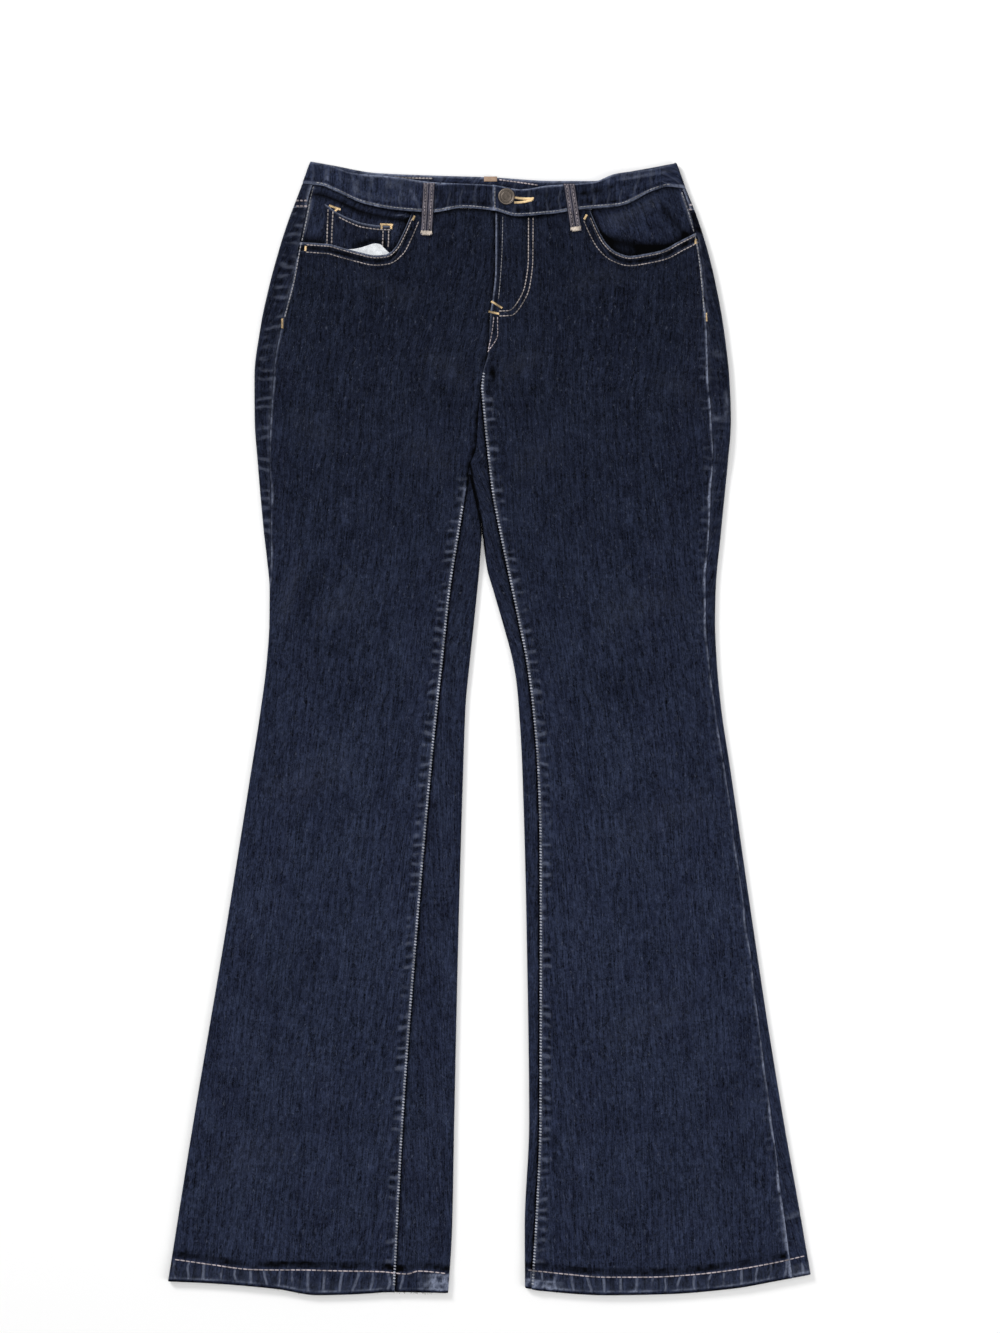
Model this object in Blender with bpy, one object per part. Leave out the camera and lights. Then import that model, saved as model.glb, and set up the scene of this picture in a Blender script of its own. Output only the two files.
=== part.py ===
"""Bootcut jeans lying flat, front up: every cut piece as its own closed cloth wall.

Sizes are in millimetres and become metres as each mesh is made. X runs across the jeans
(wearer's right at -X), Y from the hems up to the waist, Z up from the surface they lie on.
"""
import math

import bmesh
import bpy

MM = 0.001

# Cloth and seams
CLOTH = 1.0              # thickness of one layer of denim
GAP = 0.3                # space between neighbouring pieces
BAND_GAP = 0.7           # under the waistband's foot, whose curve the panels meet
LAYER = CLOTH + GAP      # what one more layer adds
BAND_CLOTH = 2.0         # the waistband is two layers sewn together
HEM_CLOTH = 2.3          # the turned-up hem is three layers
HEM_DEPTH = 16.6         # from the hem's edge to the top of the turn-up
HEM_STEP = 0.6           # run over which the turn-up's edge drops to one layer
HEM_RAMP = 10.0          # run above it over which the leg flattens

# Heights of the flat tube, outside to outside
LEG_HEIGHT = 3.0         # two layers and the air between them
FOLD_HEIGHT = 4.4        # the rounded side folds stand a little higher
HEM_HEIGHT = 5.2
BAND_HEIGHT = 4.8
SEAT_LIFT = LAYER        # the seat lies on the back pockets and belt loops
SEAT_RAMP = (226.0, 264.0)
HIP_RAMP = (306.0, 330.0)
HIP_EXTRA = 0.7          # pocket facings under the front panels
ZIP_EXTRA = 0.6
COIN_EXTRA = 2.6         # coin pocket and pocket bag under the right front panel
FOLD_REACH = 14.0        # how far in from an edge its rounded rise fades out
BAND_RAMP = (470.0, 500.0)
FLY_SPAN = (-18.0, 26.0, 12.0)          # where the zip lifts the cloth: from, to, ramp
FLY_RAMP = (380.0, 390.0)
COIN_SPAN_X = (-150.0, -86.0, 10.0)     # where the coin pocket lifts it
COIN_SPAN_Y = (420.0, 470.0, 24.0)

FORK_Y = 184.0           # where the legs part
FORK_X = -7.5

# Side of each leg seen from above: height up the leg, side fold, how far the outseam
# lies in from the middle of that fold (minus = round on the underside)
RIGHT_SIDE = (
    # y, fold_x, outseam
    (531, -169.0, 11.0),
    (505, -178.3, 11.5),
    (480, -187.9, 15.7),
    (450, -197.8, 19.2),
    (415, -207.3, 22.0),
    (375, -215.8, 20.5),
    (330, -221.2, 19.0),
    (290, -220.9, 16.0),
    (250, -218.2, 12.8),
    (184, -212.4, 8.0),
    (160, -209.6, 5.0),
    (130, -207.0, -1.0),
    (100, -207.2, -7.5),
    (65, -209.4, -9.5),
    (20, -215.0, -10.0),
    (-40, -224.3, -10.0),
    (-190, -248.2, -10.0),
    (-370, -278.6, -10.0),
    (-525, -303.2, -10.0),
)
LEFT_SIDE = (
    # y, fold_x, outseam
    (531, 175.0, 3.5),
    (505, 184.3, 4.5),
    (480, 194.2, 6.0),
    (450, 203.8, 8.5),
    (415, 212.3, 12.8),
    (375, 219.4, 17.0),
    (330, 224.7, 21.0),
    (290, 226.3, 19.5),
    (250, 223.4, 15.5),
    (184, 217.0, 12.5),
    (130, 212.0, 10.5),
    (100, 211.4, 9.8),
    (65, 212.8, 8.3),
    (20, 217.0, 6.8),
    (-40, 225.9, 6.2),
    (-190, 247.6, 7.0),
    (-280, 261.2, 9.5),
    (-370, 276.0, 12.3),
    (-450, 290.2, 16.0),
    (-525, 303.2, 19.5),
)
# Inner fold of each leg below the fork
RIGHT_INNER = ((184, -7.6), (150, -10.0), (100, -15.0), (65, -18.7), (20, -23.0), (-40, -25.2),
               (-190, -29.6), (-370, -33.6), (-470, -35.6), (-540, -40.0))
LEFT_INNER = ((184, -7.4), (150, -2.8), (130, 2.9), (100, 11.6), (65, 21.0), (45, 24.6),
              (20, 27.0), (-40, 30.4), (-190, 34.4), (-370, 36.8), (-470, 32.6), (-540, 33.0))
# Inner edge of each front panel: fly and front rise down to the fork, then the inseam
RIGHT_FRONT_EDGE = ((512, 5.0), (432, 4.7), (402, 2.0), (390, 0.0), (352, -2.0), (336, -6.6),
                    (320, -8.4), (300, -10.6), (264, -13.0), (246, -19.0), (226, -22.0),
                    (184, -28.9), (130, -37.3), (65, -44.2), (20, -49.2), (-40, -55.2),
                    (-190, -68.2), (-370, -81.5), (-540, -90.0))
LEFT_INSEAM = ((318, -8.1), (290, -5.6), (254, -1.9), (220, 2.2), (184, 9.1), (130, 20.4),
               (100, 26.7), (65, 33.7), (20, 39.8), (-40, 44.6), (-110, 46.6), (-190, 46.8),
               (-370, 46.4), (-450, 43.3), (-540, 38.0))
LEFT_INSEAM_TOP = 318.0   # above it the left front meets the right front
# Centre-back seam where it folds up over the fork and shows between the inseams
RISE_LINE = ((184, -7.5), (197, -9.0), (229, -16.0), (246, -19.0))
RIGHT_TONGUE_TOP = 238
LEFT_TONGUE_TOP = 315
FORK_BLEND = 21.0        # run over which the seam closes up above the fork
TONGUE_BLEND = 13.0
# Centre-back seam on the underside
BACK_CENTRE = ((200, -7.6), (260, -5.0), (340, -1.0), (420, 0.0), (520, 0.0))

# Edges that run across: x, y
FRONT_BAND_FOOT = ((-178, 511), (-158, 509), (-145, 504), (-118, 492), (-86, 486), (-53, 484),
                   (-26, 488), (3, 485.5), (25, 480), (54, 482), (87, 487), (121, 490),
                   (154, 504.5), (168, 508), (186, 506))
FRONT_BAND_TOP = ((-172, 532), (-150, 528), (-130, 521), (-89, 517), (-53, 512), (0, 509.5),
                  (29, 505), (57, 509), (96, 512), (118, 520), (152, 524.5), (178, 531))
BACK_BAND_FOOT = ((-178, 511), (-150, 503), (-107, 493.5), (-53, 489.5), (0, 488), (60, 485.5),
                  (110, 488), (150, 498), (186, 506))
BACK_BAND_TOP = ((-172, 532), (-150, 528.5), (-107, 521), (-53, 518.6), (0, 517), (57, 513.6),
                 (97, 513.5), (130, 522), (152, 526), (178, 531))
YOKE_SEAM = ((-190, 490), (-150, 474), (-75, 448), (0, 432), (75, 446), (150, 472), (195, 487))
RIGHT_HEM = ((-304, -519), (-260, -521), (-201, -526), (-162, -532), (-122, -531), (-92, -529),
             (-38, -530))
LEFT_HEM = ((32, -525), (49, -528), (108, -532), (167, -531), (227, -526), (267, -519),
            (304, -512))
RIGHT_POCKET_EDGE = ((-200, 457), (-169, 455.5), (-152, 454), (-137, 450), (-122, 446),
                     (-107, 443), (-97, 444), (-89, 450), (-82, 463), (-76, 477))
LEFT_POCKET_EDGE = ((98, 476), (101, 469), (109, 455), (118, 447), (131, 443), (146, 445),
                    (163, 449), (176, 456), (200, 468))
COIN_POCKET_TOP = ((-155, 492), (-142, 483), (-130, 477.5), (-120, 474), (-102, 471.5),
                   (-93, 471))
LINING_TOP = ((-140, 447.5), (-122, 450.5), (-108, 454), (-103, 453.5), (-98, 449), (-92, 444))

RISE_LINE_TOP = 245.0
BAND_SEAM_RIGHT = -147.6
BAND_SEAM_LEFT = 160.7
FLY_END = 2.5            # end of the left band where it laps over the right one
OVERLAP_RAMP = (47.0, 66.0)
LAP_RISE = BAND_CLOTH + GAP

FACING_RISE = 1.2
FACING_RAMP = (-5.0, -0.8)              # below the back band's foot
FACING_ENDS = {-1: -74.5, 1: 95.5}
FACING_UNDER = 25.0      # how far a facing or coin pocket runs down behind the pocket edge
COIN_UNDER = 20.0
COIN_COLUMNS = (-155, -142, -130, -120, -107, -93)
COIN_ROWS = 5
LINING_COLUMNS = (-140, -131, -122, -115, -108, -103, -98, -92)
LINING_ROWS = 12
LOOP_SIZE = (12.2, 50.0)
LOOP_DROP = 1.0          # how far below the back band's top an under loop starts
LOOP_RAMP = (-8.0, -0.8)                # below the front band's foot
LOOP_STATIONS = (0.0, 0.05, 0.3, 0.48, 0.56, 0.62, 0.68, 0.95, 1.0)
FRONT_LOOPS = {                         # top point, foot point, width
    -1: ((-57.0, 511.0), (-59.7, 462.5), 12.2),
    1: ((74.2, 510.0), (80.8, 466.5), 11.2),
}
UNDER_LOOPS = (("side_right", -118.0), ("back", 0.0), ("side_left", 122.0))
POCKET_SIZE = (134.0, 146.0)
POCKET_X = 112.0
POCKET_TOP = 437.0
POCKET_TILT = -3.0
POCKET_SHAPE = ((-0.5, 0.0), (-0.45, -0.80), (-0.40, -0.84), (-0.04, -0.99), (0.04, -0.99),
                (0.40, -0.84), (0.45, -0.80), (0.5, 0.0))
LINING_FOOT = 340.0
POCKET_EDGE_LIMIT = 470.0
ZIP_X = (-13.0, 21.0)
ZIP_Y = (393.0, 479.0)
ZIP_THICKNESS = 1.6
TAB_X = (-5.6, 6.6)
TAB_Y = (513.0, 517.6)
TAB_FLOOR = SEAT_LIFT + BAND_CLOTH + GAP
LOOP_CLOTH = 1.4
BUTTON_AT = (15.5, 498.0)
BUTTON_RADIUS = 7.8
SHANK_RADIUS = 2.2
BUTTONHOLE = (24.5, 1.4, 2.7)   # length, slot width, eye radius

# Heights of the rows shared by front and back, so that their seams follow each other
PANEL_ROWS = (-470, -430, -390, -350, -310, -270, -230, -190, -150, -110, -70, -30, 10, 42, 70,
              95, 115, 125, 135, 145, 155, 184, 197, 208, 219, 229, 238, 246, 255, 264, 282, 300, 315,
              318, 336, 352, 372, 396, 408, 420)
COLUMNS_AT = 440.0       # height at which the front panels' columns are given
COLUMN_STEP = 2.2
BEND_COLUMNS = 6
BACK_BEND = 7
BACK_FLAT = 7
INNER_BEND = 4
STRIP_COLUMNS = 3
YOKE_FLAT = 6
YOKE_ROWS = 4
YOKE_FOLD_Y = 488.0
BAND_FOLD_Y = 520.0
BAND_ROWS = 4
BAND_STOPS = {-1: -159.0, 1: 168.0}     # last columns of the back band before its folds
BAND_UNDER = {-1: (-150, -125, -100, -75, -50, -25, 0), 1: (25, 50, 75, 100, 125, 150)}
FACING_COLUMNS = 9
FACING_ROWS = 6
SETTLE_TURNS = 5         # passes that settle a point whose height and place depend on each other
RIGHT_BAND_COLUMNS = (-132, -118, -102, -86, -70, -53, -40, -26, -12, 2, 16, 30, 44)
LEFT_BAND_COLUMNS = (14, 26, 38, 48, 54, 60, 66, 76, 87, 96, 106, 118, 132, 146)
RIGHT_COLUMNS = (-155, -137, -122, -107, -97, -89, -82, -76, -66, -50, -34, -18)
LEFT_COLUMNS = (20, 36, 52, 68, 84, 94, 101, 109, 118, 131, 146, 163)


def smooth(table, column=1):
    """A curve through a short table that never overshoots its rows."""
    rows = sorted((row[0], row[column]) for row in table)
    xs = [row[0] for row in rows]
    ys = [row[1] for row in rows]
    slopes = [(b - a) / (d - c) for a, b, c, d in zip(ys, ys[1:], xs, xs[1:])]
    tangents = [slopes[0]]
    for before, after in zip(slopes, slopes[1:]):
        level = before * after <= 0
        tangents.append(0.0 if level else 2 * before * after / (before + after))
    tangents.append(slopes[-1])

    def value(x):
        if x <= xs[0]:
            return ys[0] + slopes[0] * (x - xs[0])
        if x >= xs[-1]:
            return ys[-1] + slopes[-1] * (x - xs[-1])
        k = max(i for i, start in enumerate(xs) if start <= x)
        run = xs[k + 1] - xs[k]
        t = (x - xs[k]) / run
        return ((1 + 2 * t) * (1 - t) ** 2 * ys[k] + t * (1 - t) ** 2 * run * tangents[k]
                + t * t * (3 - 2 * t) * ys[k + 1] + t * t * (t - 1) * run * tangents[k + 1])

    return value


def ease(x, start, end):
    """0 before start, 1 after end, and smooth between them."""
    t = min(max((x - start) / (end - start), 0.0), 1.0)
    return t * t * (3 - 2 * t)


def plateau(x, low, high, ramp):
    """1 between low and high, falling to 0 over ramp on either side."""
    return ease(x, low - ramp, low) * (1 - ease(x, high, high + ramp))


class Half:
    """One half of the jeans: its outline, its seams and the height of its flat tube."""

    def __init__(self, side, outline, inner, front_edge, hem):
        self.side = side
        self.fold = smooth(outline, 1)
        self.outseam = smooth(outline, 2)
        self.inner = smooth(inner)
        self.front_edge = front_edge
        self.hem = smooth(hem)

    def underside(self, y):
        return SEAT_LIFT * ease(y, *SEAT_RAMP)

    def fold_radius(self, x, y):
        hem = 1 - ease(y - self.hem(x), HEM_DEPTH, HEM_DEPTH + HEM_RAMP)
        band = ease(y, *BAND_RAMP)
        height = FOLD_HEIGHT + (HEM_HEIGHT - FOLD_HEIGHT) * hem
        return 0.5 * (height + (BAND_HEIGHT - height) * band)

    def height(self, x, y):
        """Outside height of the flat tube above its underside at a point of the top layer."""
        hip = HIP_EXTRA * ease(y, *HIP_RAMP)
        fly = ZIP_EXTRA * plateau(x, *FLY_SPAN) * ease(y, *FLY_RAMP)
        coin = COIN_EXTRA * plateau(x, *COIN_SPAN_X) * plateau(y, *COIN_SPAN_Y)
        hem = (HEM_HEIGHT - LEG_HEIGHT) * (
            1 - ease(y - self.hem(x), HEM_DEPTH, HEM_DEPTH + HEM_RAMP))
        flat = LEG_HEIGHT + hip + fly + coin + hem
        outer = abs(x - self.fold(y))
        if y <= FORK_Y:
            inner = abs(x - self.inner(y))
        else:
            inner = math.hypot(x - FORK_X, y - FORK_Y)
        edge = min(outer, inner)
        radius = self.fold_radius(x, y)
        rise = 1 - ease(edge, radius, radius + FOLD_REACH)
        return flat + (max(2 * radius, flat) - flat) * rise

    def at_fold(self, which, s, y, depth):
        """A point s along the ring from the middle of a fold (plus = over the top), depth inside.

        Returns x, z. which is "outer" or "inner".
        """
        edge = self.fold(y) if which == "outer" else self.inner(y)
        inward = -self.side if which == "outer" else self.side
        radius = self.fold_radius(edge, y)
        quarter = math.pi * radius / 2
        floor = self.underside(y)
        if abs(s) <= quarter:
            angle = s / radius
            x = edge + inward * (radius - (radius - depth) * math.cos(angle))
            return x, floor + radius + (radius - depth) * math.sin(angle)
        x = edge + inward * (radius + abs(s) - quarter)
        if s > 0:
            return x, floor + self.height(x, y) - depth
        return x, floor + depth

    def along(self, which, x, y, top=True):
        """The ring position s of a point x of the top or bottom layer."""
        edge = self.fold(y) if which == "outer" else self.inner(y)
        radius = self.fold_radius(edge, y)
        s = math.pi * radius / 2 + abs(x - edge) - radius
        return s if top else -s


def right_front_edge(y, table=smooth(RIGHT_FRONT_EDGE)):
    return table(y)


def left_front_edge(y, table=smooth(LEFT_INSEAM)):
    if y >= LEFT_INSEAM_TOP:
        return right_front_edge(y) + GAP
    return table(y)


RIGHT = Half(-1, RIGHT_SIDE, RIGHT_INNER, right_front_edge, RIGHT_HEM)
LEFT = Half(1, LEFT_SIDE, LEFT_INNER, left_front_edge, LEFT_HEM)
HALVES = (("right", RIGHT), ("left", LEFT))

front_band_foot = smooth(FRONT_BAND_FOOT)
front_band_top = smooth(FRONT_BAND_TOP)
back_band_foot = smooth(BACK_BAND_FOOT)
back_band_top = smooth(BACK_BAND_TOP)
yoke_seam = smooth(YOKE_SEAM)
back_centre = smooth(BACK_CENTRE)
rise_line = smooth(RISE_LINE)
pocket_edges = {-1: smooth(RIGHT_POCKET_EDGE), 1: smooth(LEFT_POCKET_EDGE)}


def clear_scene():
    for thing in list(bpy.data.objects):
        bpy.data.objects.remove(thing, do_unlink=True)


def make_material(name, colour, roughness, metallic=0.0):
    found = bpy.data.materials.get(name)
    if found:
        return found
    material = bpy.data.materials.new(name)
    material.use_nodes = True
    shader = material.node_tree.nodes["Principled BSDF"]
    shader.inputs["Base Color"].default_value = (*colour, 1.0)
    shader.inputs["Roughness"].default_value = roughness
    shader.inputs["Metallic"].default_value = metallic
    return material


FINISHES = {
    "denim": ((0.012, 0.016, 0.032), 0.85, 0.0),
    "denim_band": ((0.017, 0.020, 0.038), 0.85, 0.0),
    "pocketing": ((0.70, 0.72, 0.74), 0.80, 0.0),
    "tan_tab": ((0.55, 0.33, 0.19), 0.75, 0.0),
    "bronze": ((0.13, 0.11, 0.10), 0.42, 1.0),
    "zip_tape": ((0.015, 0.018, 0.030), 0.70, 0.0),
}


def finish_object(name, bm, finish):
    """Turn a mesh in millimetres into a named object in metres with its material."""
    bmesh.ops.scale(bm, vec=(MM, MM, MM), verts=bm.verts)
    bmesh.ops.recalc_face_normals(bm, faces=bm.faces)
    mesh = bpy.data.meshes.new(name)
    bm.to_mesh(mesh)
    bm.free()
    mesh.shade_smooth()
    mesh.set_sharp_from_angle(angle=math.radians(50))
    mesh.materials.append(make_material(finish, *FINISHES[finish]))
    thing = bpy.data.objects.new(name, mesh)
    bpy.context.scene.collection.objects.link(thing)
    return thing


def cloth_wall(name, cells, point, finish="denim"):
    """A closed wall over cells of four corners. point(corner, side): side 0 outside, 1 inside."""
    bm = bmesh.new()
    corners = {}

    def corner(key, side):
        if (key, side) not in corners:
            corners[key, side] = bm.verts.new(point(key, side))
        return corners[key, side]

    rim = {}
    for loop in cells:
        bm.faces.new([corner(key, 0) for key in loop])
        bm.faces.new([corner(key, 1) for key in reversed(loop)])
        for start, end in zip(loop, loop[1:] + loop[:1]):
            if (end, start) in rim:
                del rim[end, start]
            else:
                rim[start, end] = True
    for start, end in rim:
        bm.faces.new([corner(end, 0), corner(start, 0), corner(start, 1), corner(end, 1)])
    return finish_object(name, bm, finish)


def cell(i, j):
    return [(i, j), (i + 1, j), (i + 1, j + 1), (i, j + 1)]


def grid_cells(columns, rows):
    return [cell(i, j) for j in range(rows - 1) for i in range(columns - 1)]


def leg_rows(upper):
    """Rows of a leg panel: ("hem", rise), ("at", y) and ("up", share of the way to the top)."""
    rows = [("hem", rise) for rise in (0.0, HEM_DEPTH / 2, HEM_DEPTH, HEM_DEPTH + HEM_STEP)]
    rows += [("at", y) for y in PANEL_ROWS]
    rows += [("up", share) for share in upper]
    return rows


def row_height(row, x, hem, top):
    kind, value = row
    if kind == "hem":
        return hem(x) + value
    if kind == "at":
        return value
    return PANEL_ROWS[-1] + value * (top(x) - PANEL_ROWS[-1])


def wall_depth(row):
    kind, value = row
    return HEM_CLOTH if kind == "hem" and value <= HEM_DEPTH else CLOTH


def front_panel(label, half, columns):
    """A front panel, from the outseam over the top of the leg to the inseam and the fly."""
    rows = leg_rows((0.45, 0.8, 1.0))
    pocket = pocket_edges[half.side]

    def top(x):
        return min(pocket(x), front_band_foot(x) - BAND_GAP)

    def bend(i, y):
        """Ring position of the first columns, which go round the fold where the seam is under."""
        quarter = math.pi * half.fold_radius(half.fold(y), y) / 2
        seam = half.outseam(y) + GAP / 2
        if i == 0:
            return seam
        return max(seam + COLUMN_STEP * i, quarter * (i - 3) / 2)

    def inner_end(y):
        edge = half.along("outer", half.front_edge(y), y)
        return edge - (GAP / 2 if y < LEFT_INSEAM_TOP else 0.0)

    first = bend(BEND_COLUMNS - 1, COLUMNS_AT)
    reach = inner_end(COLUMNS_AT) - first
    shares = sorted((half.along("outer", x, COLUMNS_AT) - first) / reach for x in columns)
    shares.append(1.0)

    def place(i, y):
        if i < BEND_COLUMNS:
            return bend(i, y)
        start = bend(BEND_COLUMNS - 1, y)
        return start + (inner_end(y) - start) * shares[i - BEND_COLUMNS]

    def point(corner, side):
        i, j = corner
        x = half.fold(0.0)
        for _ in range(SETTLE_TURNS):
            y = row_height(rows[j], x, half.hem, top)
            x = half.at_fold("outer", place(i, y), y, 0.0)[0]
        x, z = half.at_fold("outer", place(i, y), y, wall_depth(rows[j]) * side)
        return x, y, z

    cells = grid_cells(BEND_COLUMNS + len(shares), len(rows))
    return cloth_wall("front_%s_panel" % label, cells, point)


def yoke_line(half, x, s):
    """Height of the yoke seam: level on top of the side fold, dipping to the centre below."""
    return yoke_seam(half.fold(YOKE_FOLD_Y)) if s > 0 else yoke_seam(x)


def outseam_bend(half, i, y):
    """Ring position of a back piece's first columns, from the outseam round the side fold."""
    quarter = math.pi * half.fold_radius(half.fold(y), y) / 2
    seam = half.outseam(y) - GAP / 2
    if i == 0:
        return seam
    if i == 1:
        return min(seam - COLUMN_STEP, (seam + quarter) / 2)
    return min(seam - COLUMN_STEP * i, quarter * (4 - i) / 2)


def back_panel(label, half, tongue_top):
    """A back panel: outseam, side fold, underside, inner fold and up to the inseam.

    Above the fork it ends at the centre-back seam, and a tongue of it shows on top.
    """
    rows = leg_rows((0.3, 0.67, 1.0))
    fork_row = rows.index(("at", FORK_Y))
    tongue_rows = [y for y in PANEL_ROWS if FORK_Y < y <= tongue_top]
    flat_end = BACK_BEND + BACK_FLAT
    fold_end = flat_end + INNER_BEND
    ring = fold_end + STRIP_COLUMNS
    tangent = half.inner(FORK_Y) + half.side * half.fold_radius(FORK_X, FORK_Y)

    def centre(y):
        blend = ease(y, FORK_Y, FORK_Y + FORK_BLEND)
        return tangent + (back_centre(y) + half.side * GAP / 2 - tangent) * blend

    def place(i, y):
        """Which fold column i is measured from at height y, and its ring position."""
        if i < BACK_BEND:
            return "outer", outseam_bend(half, i, y)
        inner_radius = half.fold_radius(half.inner(y), y)
        quarter = math.pi * inner_radius / 2
        if i < flat_end:
            inside = half.inner(y) + half.side * inner_radius if y <= FORK_Y else centre(y)
            start = outseam_bend(half, BACK_BEND - 1, y)
            end = half.along("outer", inside, y, top=False)
            return "outer", start + (end - start) * (i + 1 - BACK_BEND) / BACK_FLAT
        if i < fold_end:
            return "inner", quarter * (2 * (i + 1 - flat_end) / INNER_BEND - 1)
        end = half.along("inner", half.front_edge(y) - half.side * GAP / 2, y)
        return "inner", quarter + (end - quarter) * (i + 1 - fold_end) / STRIP_COLUMNS

    def tongue(i, y):
        """A point of the tongue, between the rise line or the fly panel and the inseam."""
        line = rise_line(y)
        if half.side > 0 and y > RISE_LINE_TOP:
            line = right_front_edge(y)
        start = line + half.side * GAP / 2
        start = tangent + (start - tangent) * ease(y, FORK_Y, FORK_Y + TONGUE_BLEND)
        end = half.front_edge(y) - half.side * GAP / 2
        x = start + (end - start) * i / STRIP_COLUMNS
        return x, half.underside(y) + half.height(x, y)

    cells = []
    for j in range(len(rows) - 1):
        cells += [cell(i, j) for i in range((ring if j < fork_row else flat_end) - 1)]
    for k in range(len(tongue_rows)):
        for i in range(STRIP_COLUMNS):
            foot = [(fold_end - 1 + i + n, fork_row) for n in (0, 1)]
            if k:
                foot = [("tongue", i + n, k - 1) for n in (0, 1)]
            cells.append(foot + [("tongue", i + 1, k), ("tongue", i, k)])

    def point(corner, side):
        if corner[0] == "tongue":
            y = tongue_rows[corner[2]]
            x, z = tongue(corner[1], y)
            return x, y, z - CLOTH * side
        i, j = corner
        x = half.fold(0.0)
        y = half.hem(x)
        for _ in range(SETTLE_TURNS):
            s = place(i, y)[1]
            y = row_height(rows[j], x, half.hem, lambda at: yoke_line(half, at, s) - GAP / 2)
            x = half.at_fold(*place(i, y), y, 0.0)[0]
        x, z = half.at_fold(*place(i, y), y, wall_depth(rows[j]) * side)
        return x, y, z

    return cloth_wall("back_%s_panel" % label, cells, point)


def yoke(label, half):
    """The yoke, from the outseam round the side fold to the centre-back seam."""
    columns = BACK_BEND + YOKE_FLAT

    def place(i, y):
        if i < BACK_BEND:
            return outseam_bend(half, i, y)
        start = outseam_bend(half, BACK_BEND - 1, y)
        end = half.along("outer", back_centre(y) + half.side * GAP / 2, y, top=False)
        return start + (end - start) * (i + 1 - BACK_BEND) / YOKE_FLAT

    def point(corner, side):
        i, j = corner
        y = YOKE_FOLD_Y
        for _ in range(SETTLE_TURNS):
            s = place(i, y)
            x = half.at_fold("outer", s, y, 0.0)[0]
            low = yoke_line(half, x, s) + GAP / 2
            high = (front_band_foot(x) if s > 0 else back_band_foot(x)) - BAND_GAP
            y = low + (high - low) * j / (YOKE_ROWS - 1)
        x, z = half.at_fold("outer", place(i, y), y, CLOTH * side)
        return x, y, z

    return cloth_wall("yoke_%s" % label, grid_cells(columns, YOKE_ROWS), point)


def waistband_back():
    """The waistband's back: from side seam to side seam, round both side folds."""
    radius = BAND_HEIGHT / 2
    quarter = math.pi * radius / 2
    turns = [quarter * (1 - k / 2) for k in range(5)]
    stops = [(RIGHT, "top", BAND_SEAM_RIGHT - GAP / 2), (RIGHT, "top", BAND_STOPS[-1])]
    stops += [(RIGHT, "turn", s) for s in turns]
    stops += [(RIGHT, "under", x) for x in BAND_UNDER[-1]]
    stops += [(LEFT, "under", x) for x in BAND_UNDER[1]]
    stops += [(LEFT, "turn", s) for s in reversed(turns)]
    stops += [(LEFT, "top", BAND_STOPS[1]), (LEFT, "top", BAND_SEAM_LEFT + GAP / 2)]

    def point(corner, side):
        half, kind, value = stops[corner[0]]
        share = corner[1] / (BAND_ROWS - 1)
        depth = BAND_CLOTH * side
        y = BAND_FOLD_Y
        for _ in range(SETTLE_TURNS):
            x = value
            z = SEAT_LIFT + (BAND_HEIGHT - depth if kind == "top" else depth)
            if kind == "turn":
                angle = value / radius
                x = half.fold(y) - half.side * (radius - (radius - depth) * math.cos(angle))
                z = SEAT_LIFT + radius + (radius - depth) * math.sin(angle)
            on_top = kind == "top" or kind == "turn" and value > 0
            low = front_band_foot(x) if on_top else back_band_foot(x)
            high = front_band_top(x) if on_top else back_band_top(x)
            y = low + (high - low) * share
        return x, y, z

    return cloth_wall("waistband_back", grid_cells(len(stops), BAND_ROWS), point, "denim_band")


def waistband_front(label, columns, rise):
    """A front waistband over the given columns; rise(x) lifts it where it laps over."""

    def point(corner, side):
        x = columns[corner[0]]
        share = corner[1] / (BAND_ROWS - 1)
        y = front_band_foot(x) + (front_band_top(x) - front_band_foot(x)) * share
        return x, y, SEAT_LIFT + BAND_HEIGHT + rise(x) - BAND_CLOTH * side

    cells = grid_cells(len(columns), BAND_ROWS)
    return cloth_wall("waistband_front_%s" % label, cells, point, "denim_band")


def lap_rise(x):
    return LAP_RISE * (1 - ease(x, *OVERLAP_RAMP))


def across_piece(name, xs, low, high, rows, surface, thickness=CLOTH, finish="denim"):
    """A wall over a strip of the jeans: columns at xs, rows from low(x) to high(x)."""

    def point(corner, side):
        x = xs[corner[0]]
        y = low(x) + (high(x) - low(x)) * corner[1] / (rows - 1)
        return x, y, surface(x, y) - thickness * side

    return cloth_wall(name, grid_cells(len(xs), rows), point, finish)


def pocket_facing(label, half):
    """The denim behind a front pocket opening, from the outseam to just past the opening."""
    pocket = pocket_edges[half.side]
    inner_x = FACING_ENDS[half.side]

    def surface(x, y):
        """Flat on the seat, and up over the thicker back waistband."""
        foot = back_band_foot(x)
        return SEAT_LIFT + CLOTH + LAYER + FACING_RISE * ease(y - foot, *FACING_RAMP)

    def place(i, y):
        start = half.fold(y) - half.side * (
            half.fold_radius(0, y) + half.outseam(y) - math.pi * half.fold_radius(0, y) / 2)
        start -= half.side * GAP
        return start + (inner_x - start) * i / (FACING_COLUMNS - 1)

    def point(corner, side):
        i, j = corner
        y = YOKE_FOLD_Y
        for _ in range(SETTLE_TURNS):
            x = place(i, y)
            low = min(pocket(x), POCKET_EDGE_LIMIT) - FACING_UNDER
            high = front_band_foot(x) - BAND_GAP
            y = low + (high - low) * j / (FACING_ROWS - 1)
        return x, y, surface(x, y) - CLOTH * side

    cells = grid_cells(FACING_COLUMNS, FACING_ROWS)
    return cloth_wall("pocket_facing_%s" % label, cells, point)


def coin_pocket():
    low = pocket_edges[-1]
    top = smooth(COIN_POCKET_TOP)
    across_piece("coin_pocket", COIN_COLUMNS, lambda x: low(x) - COIN_UNDER, top, COIN_ROWS,
                 lambda x, y: SEAT_LIFT + CLOTH + 2 * LAYER)


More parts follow.
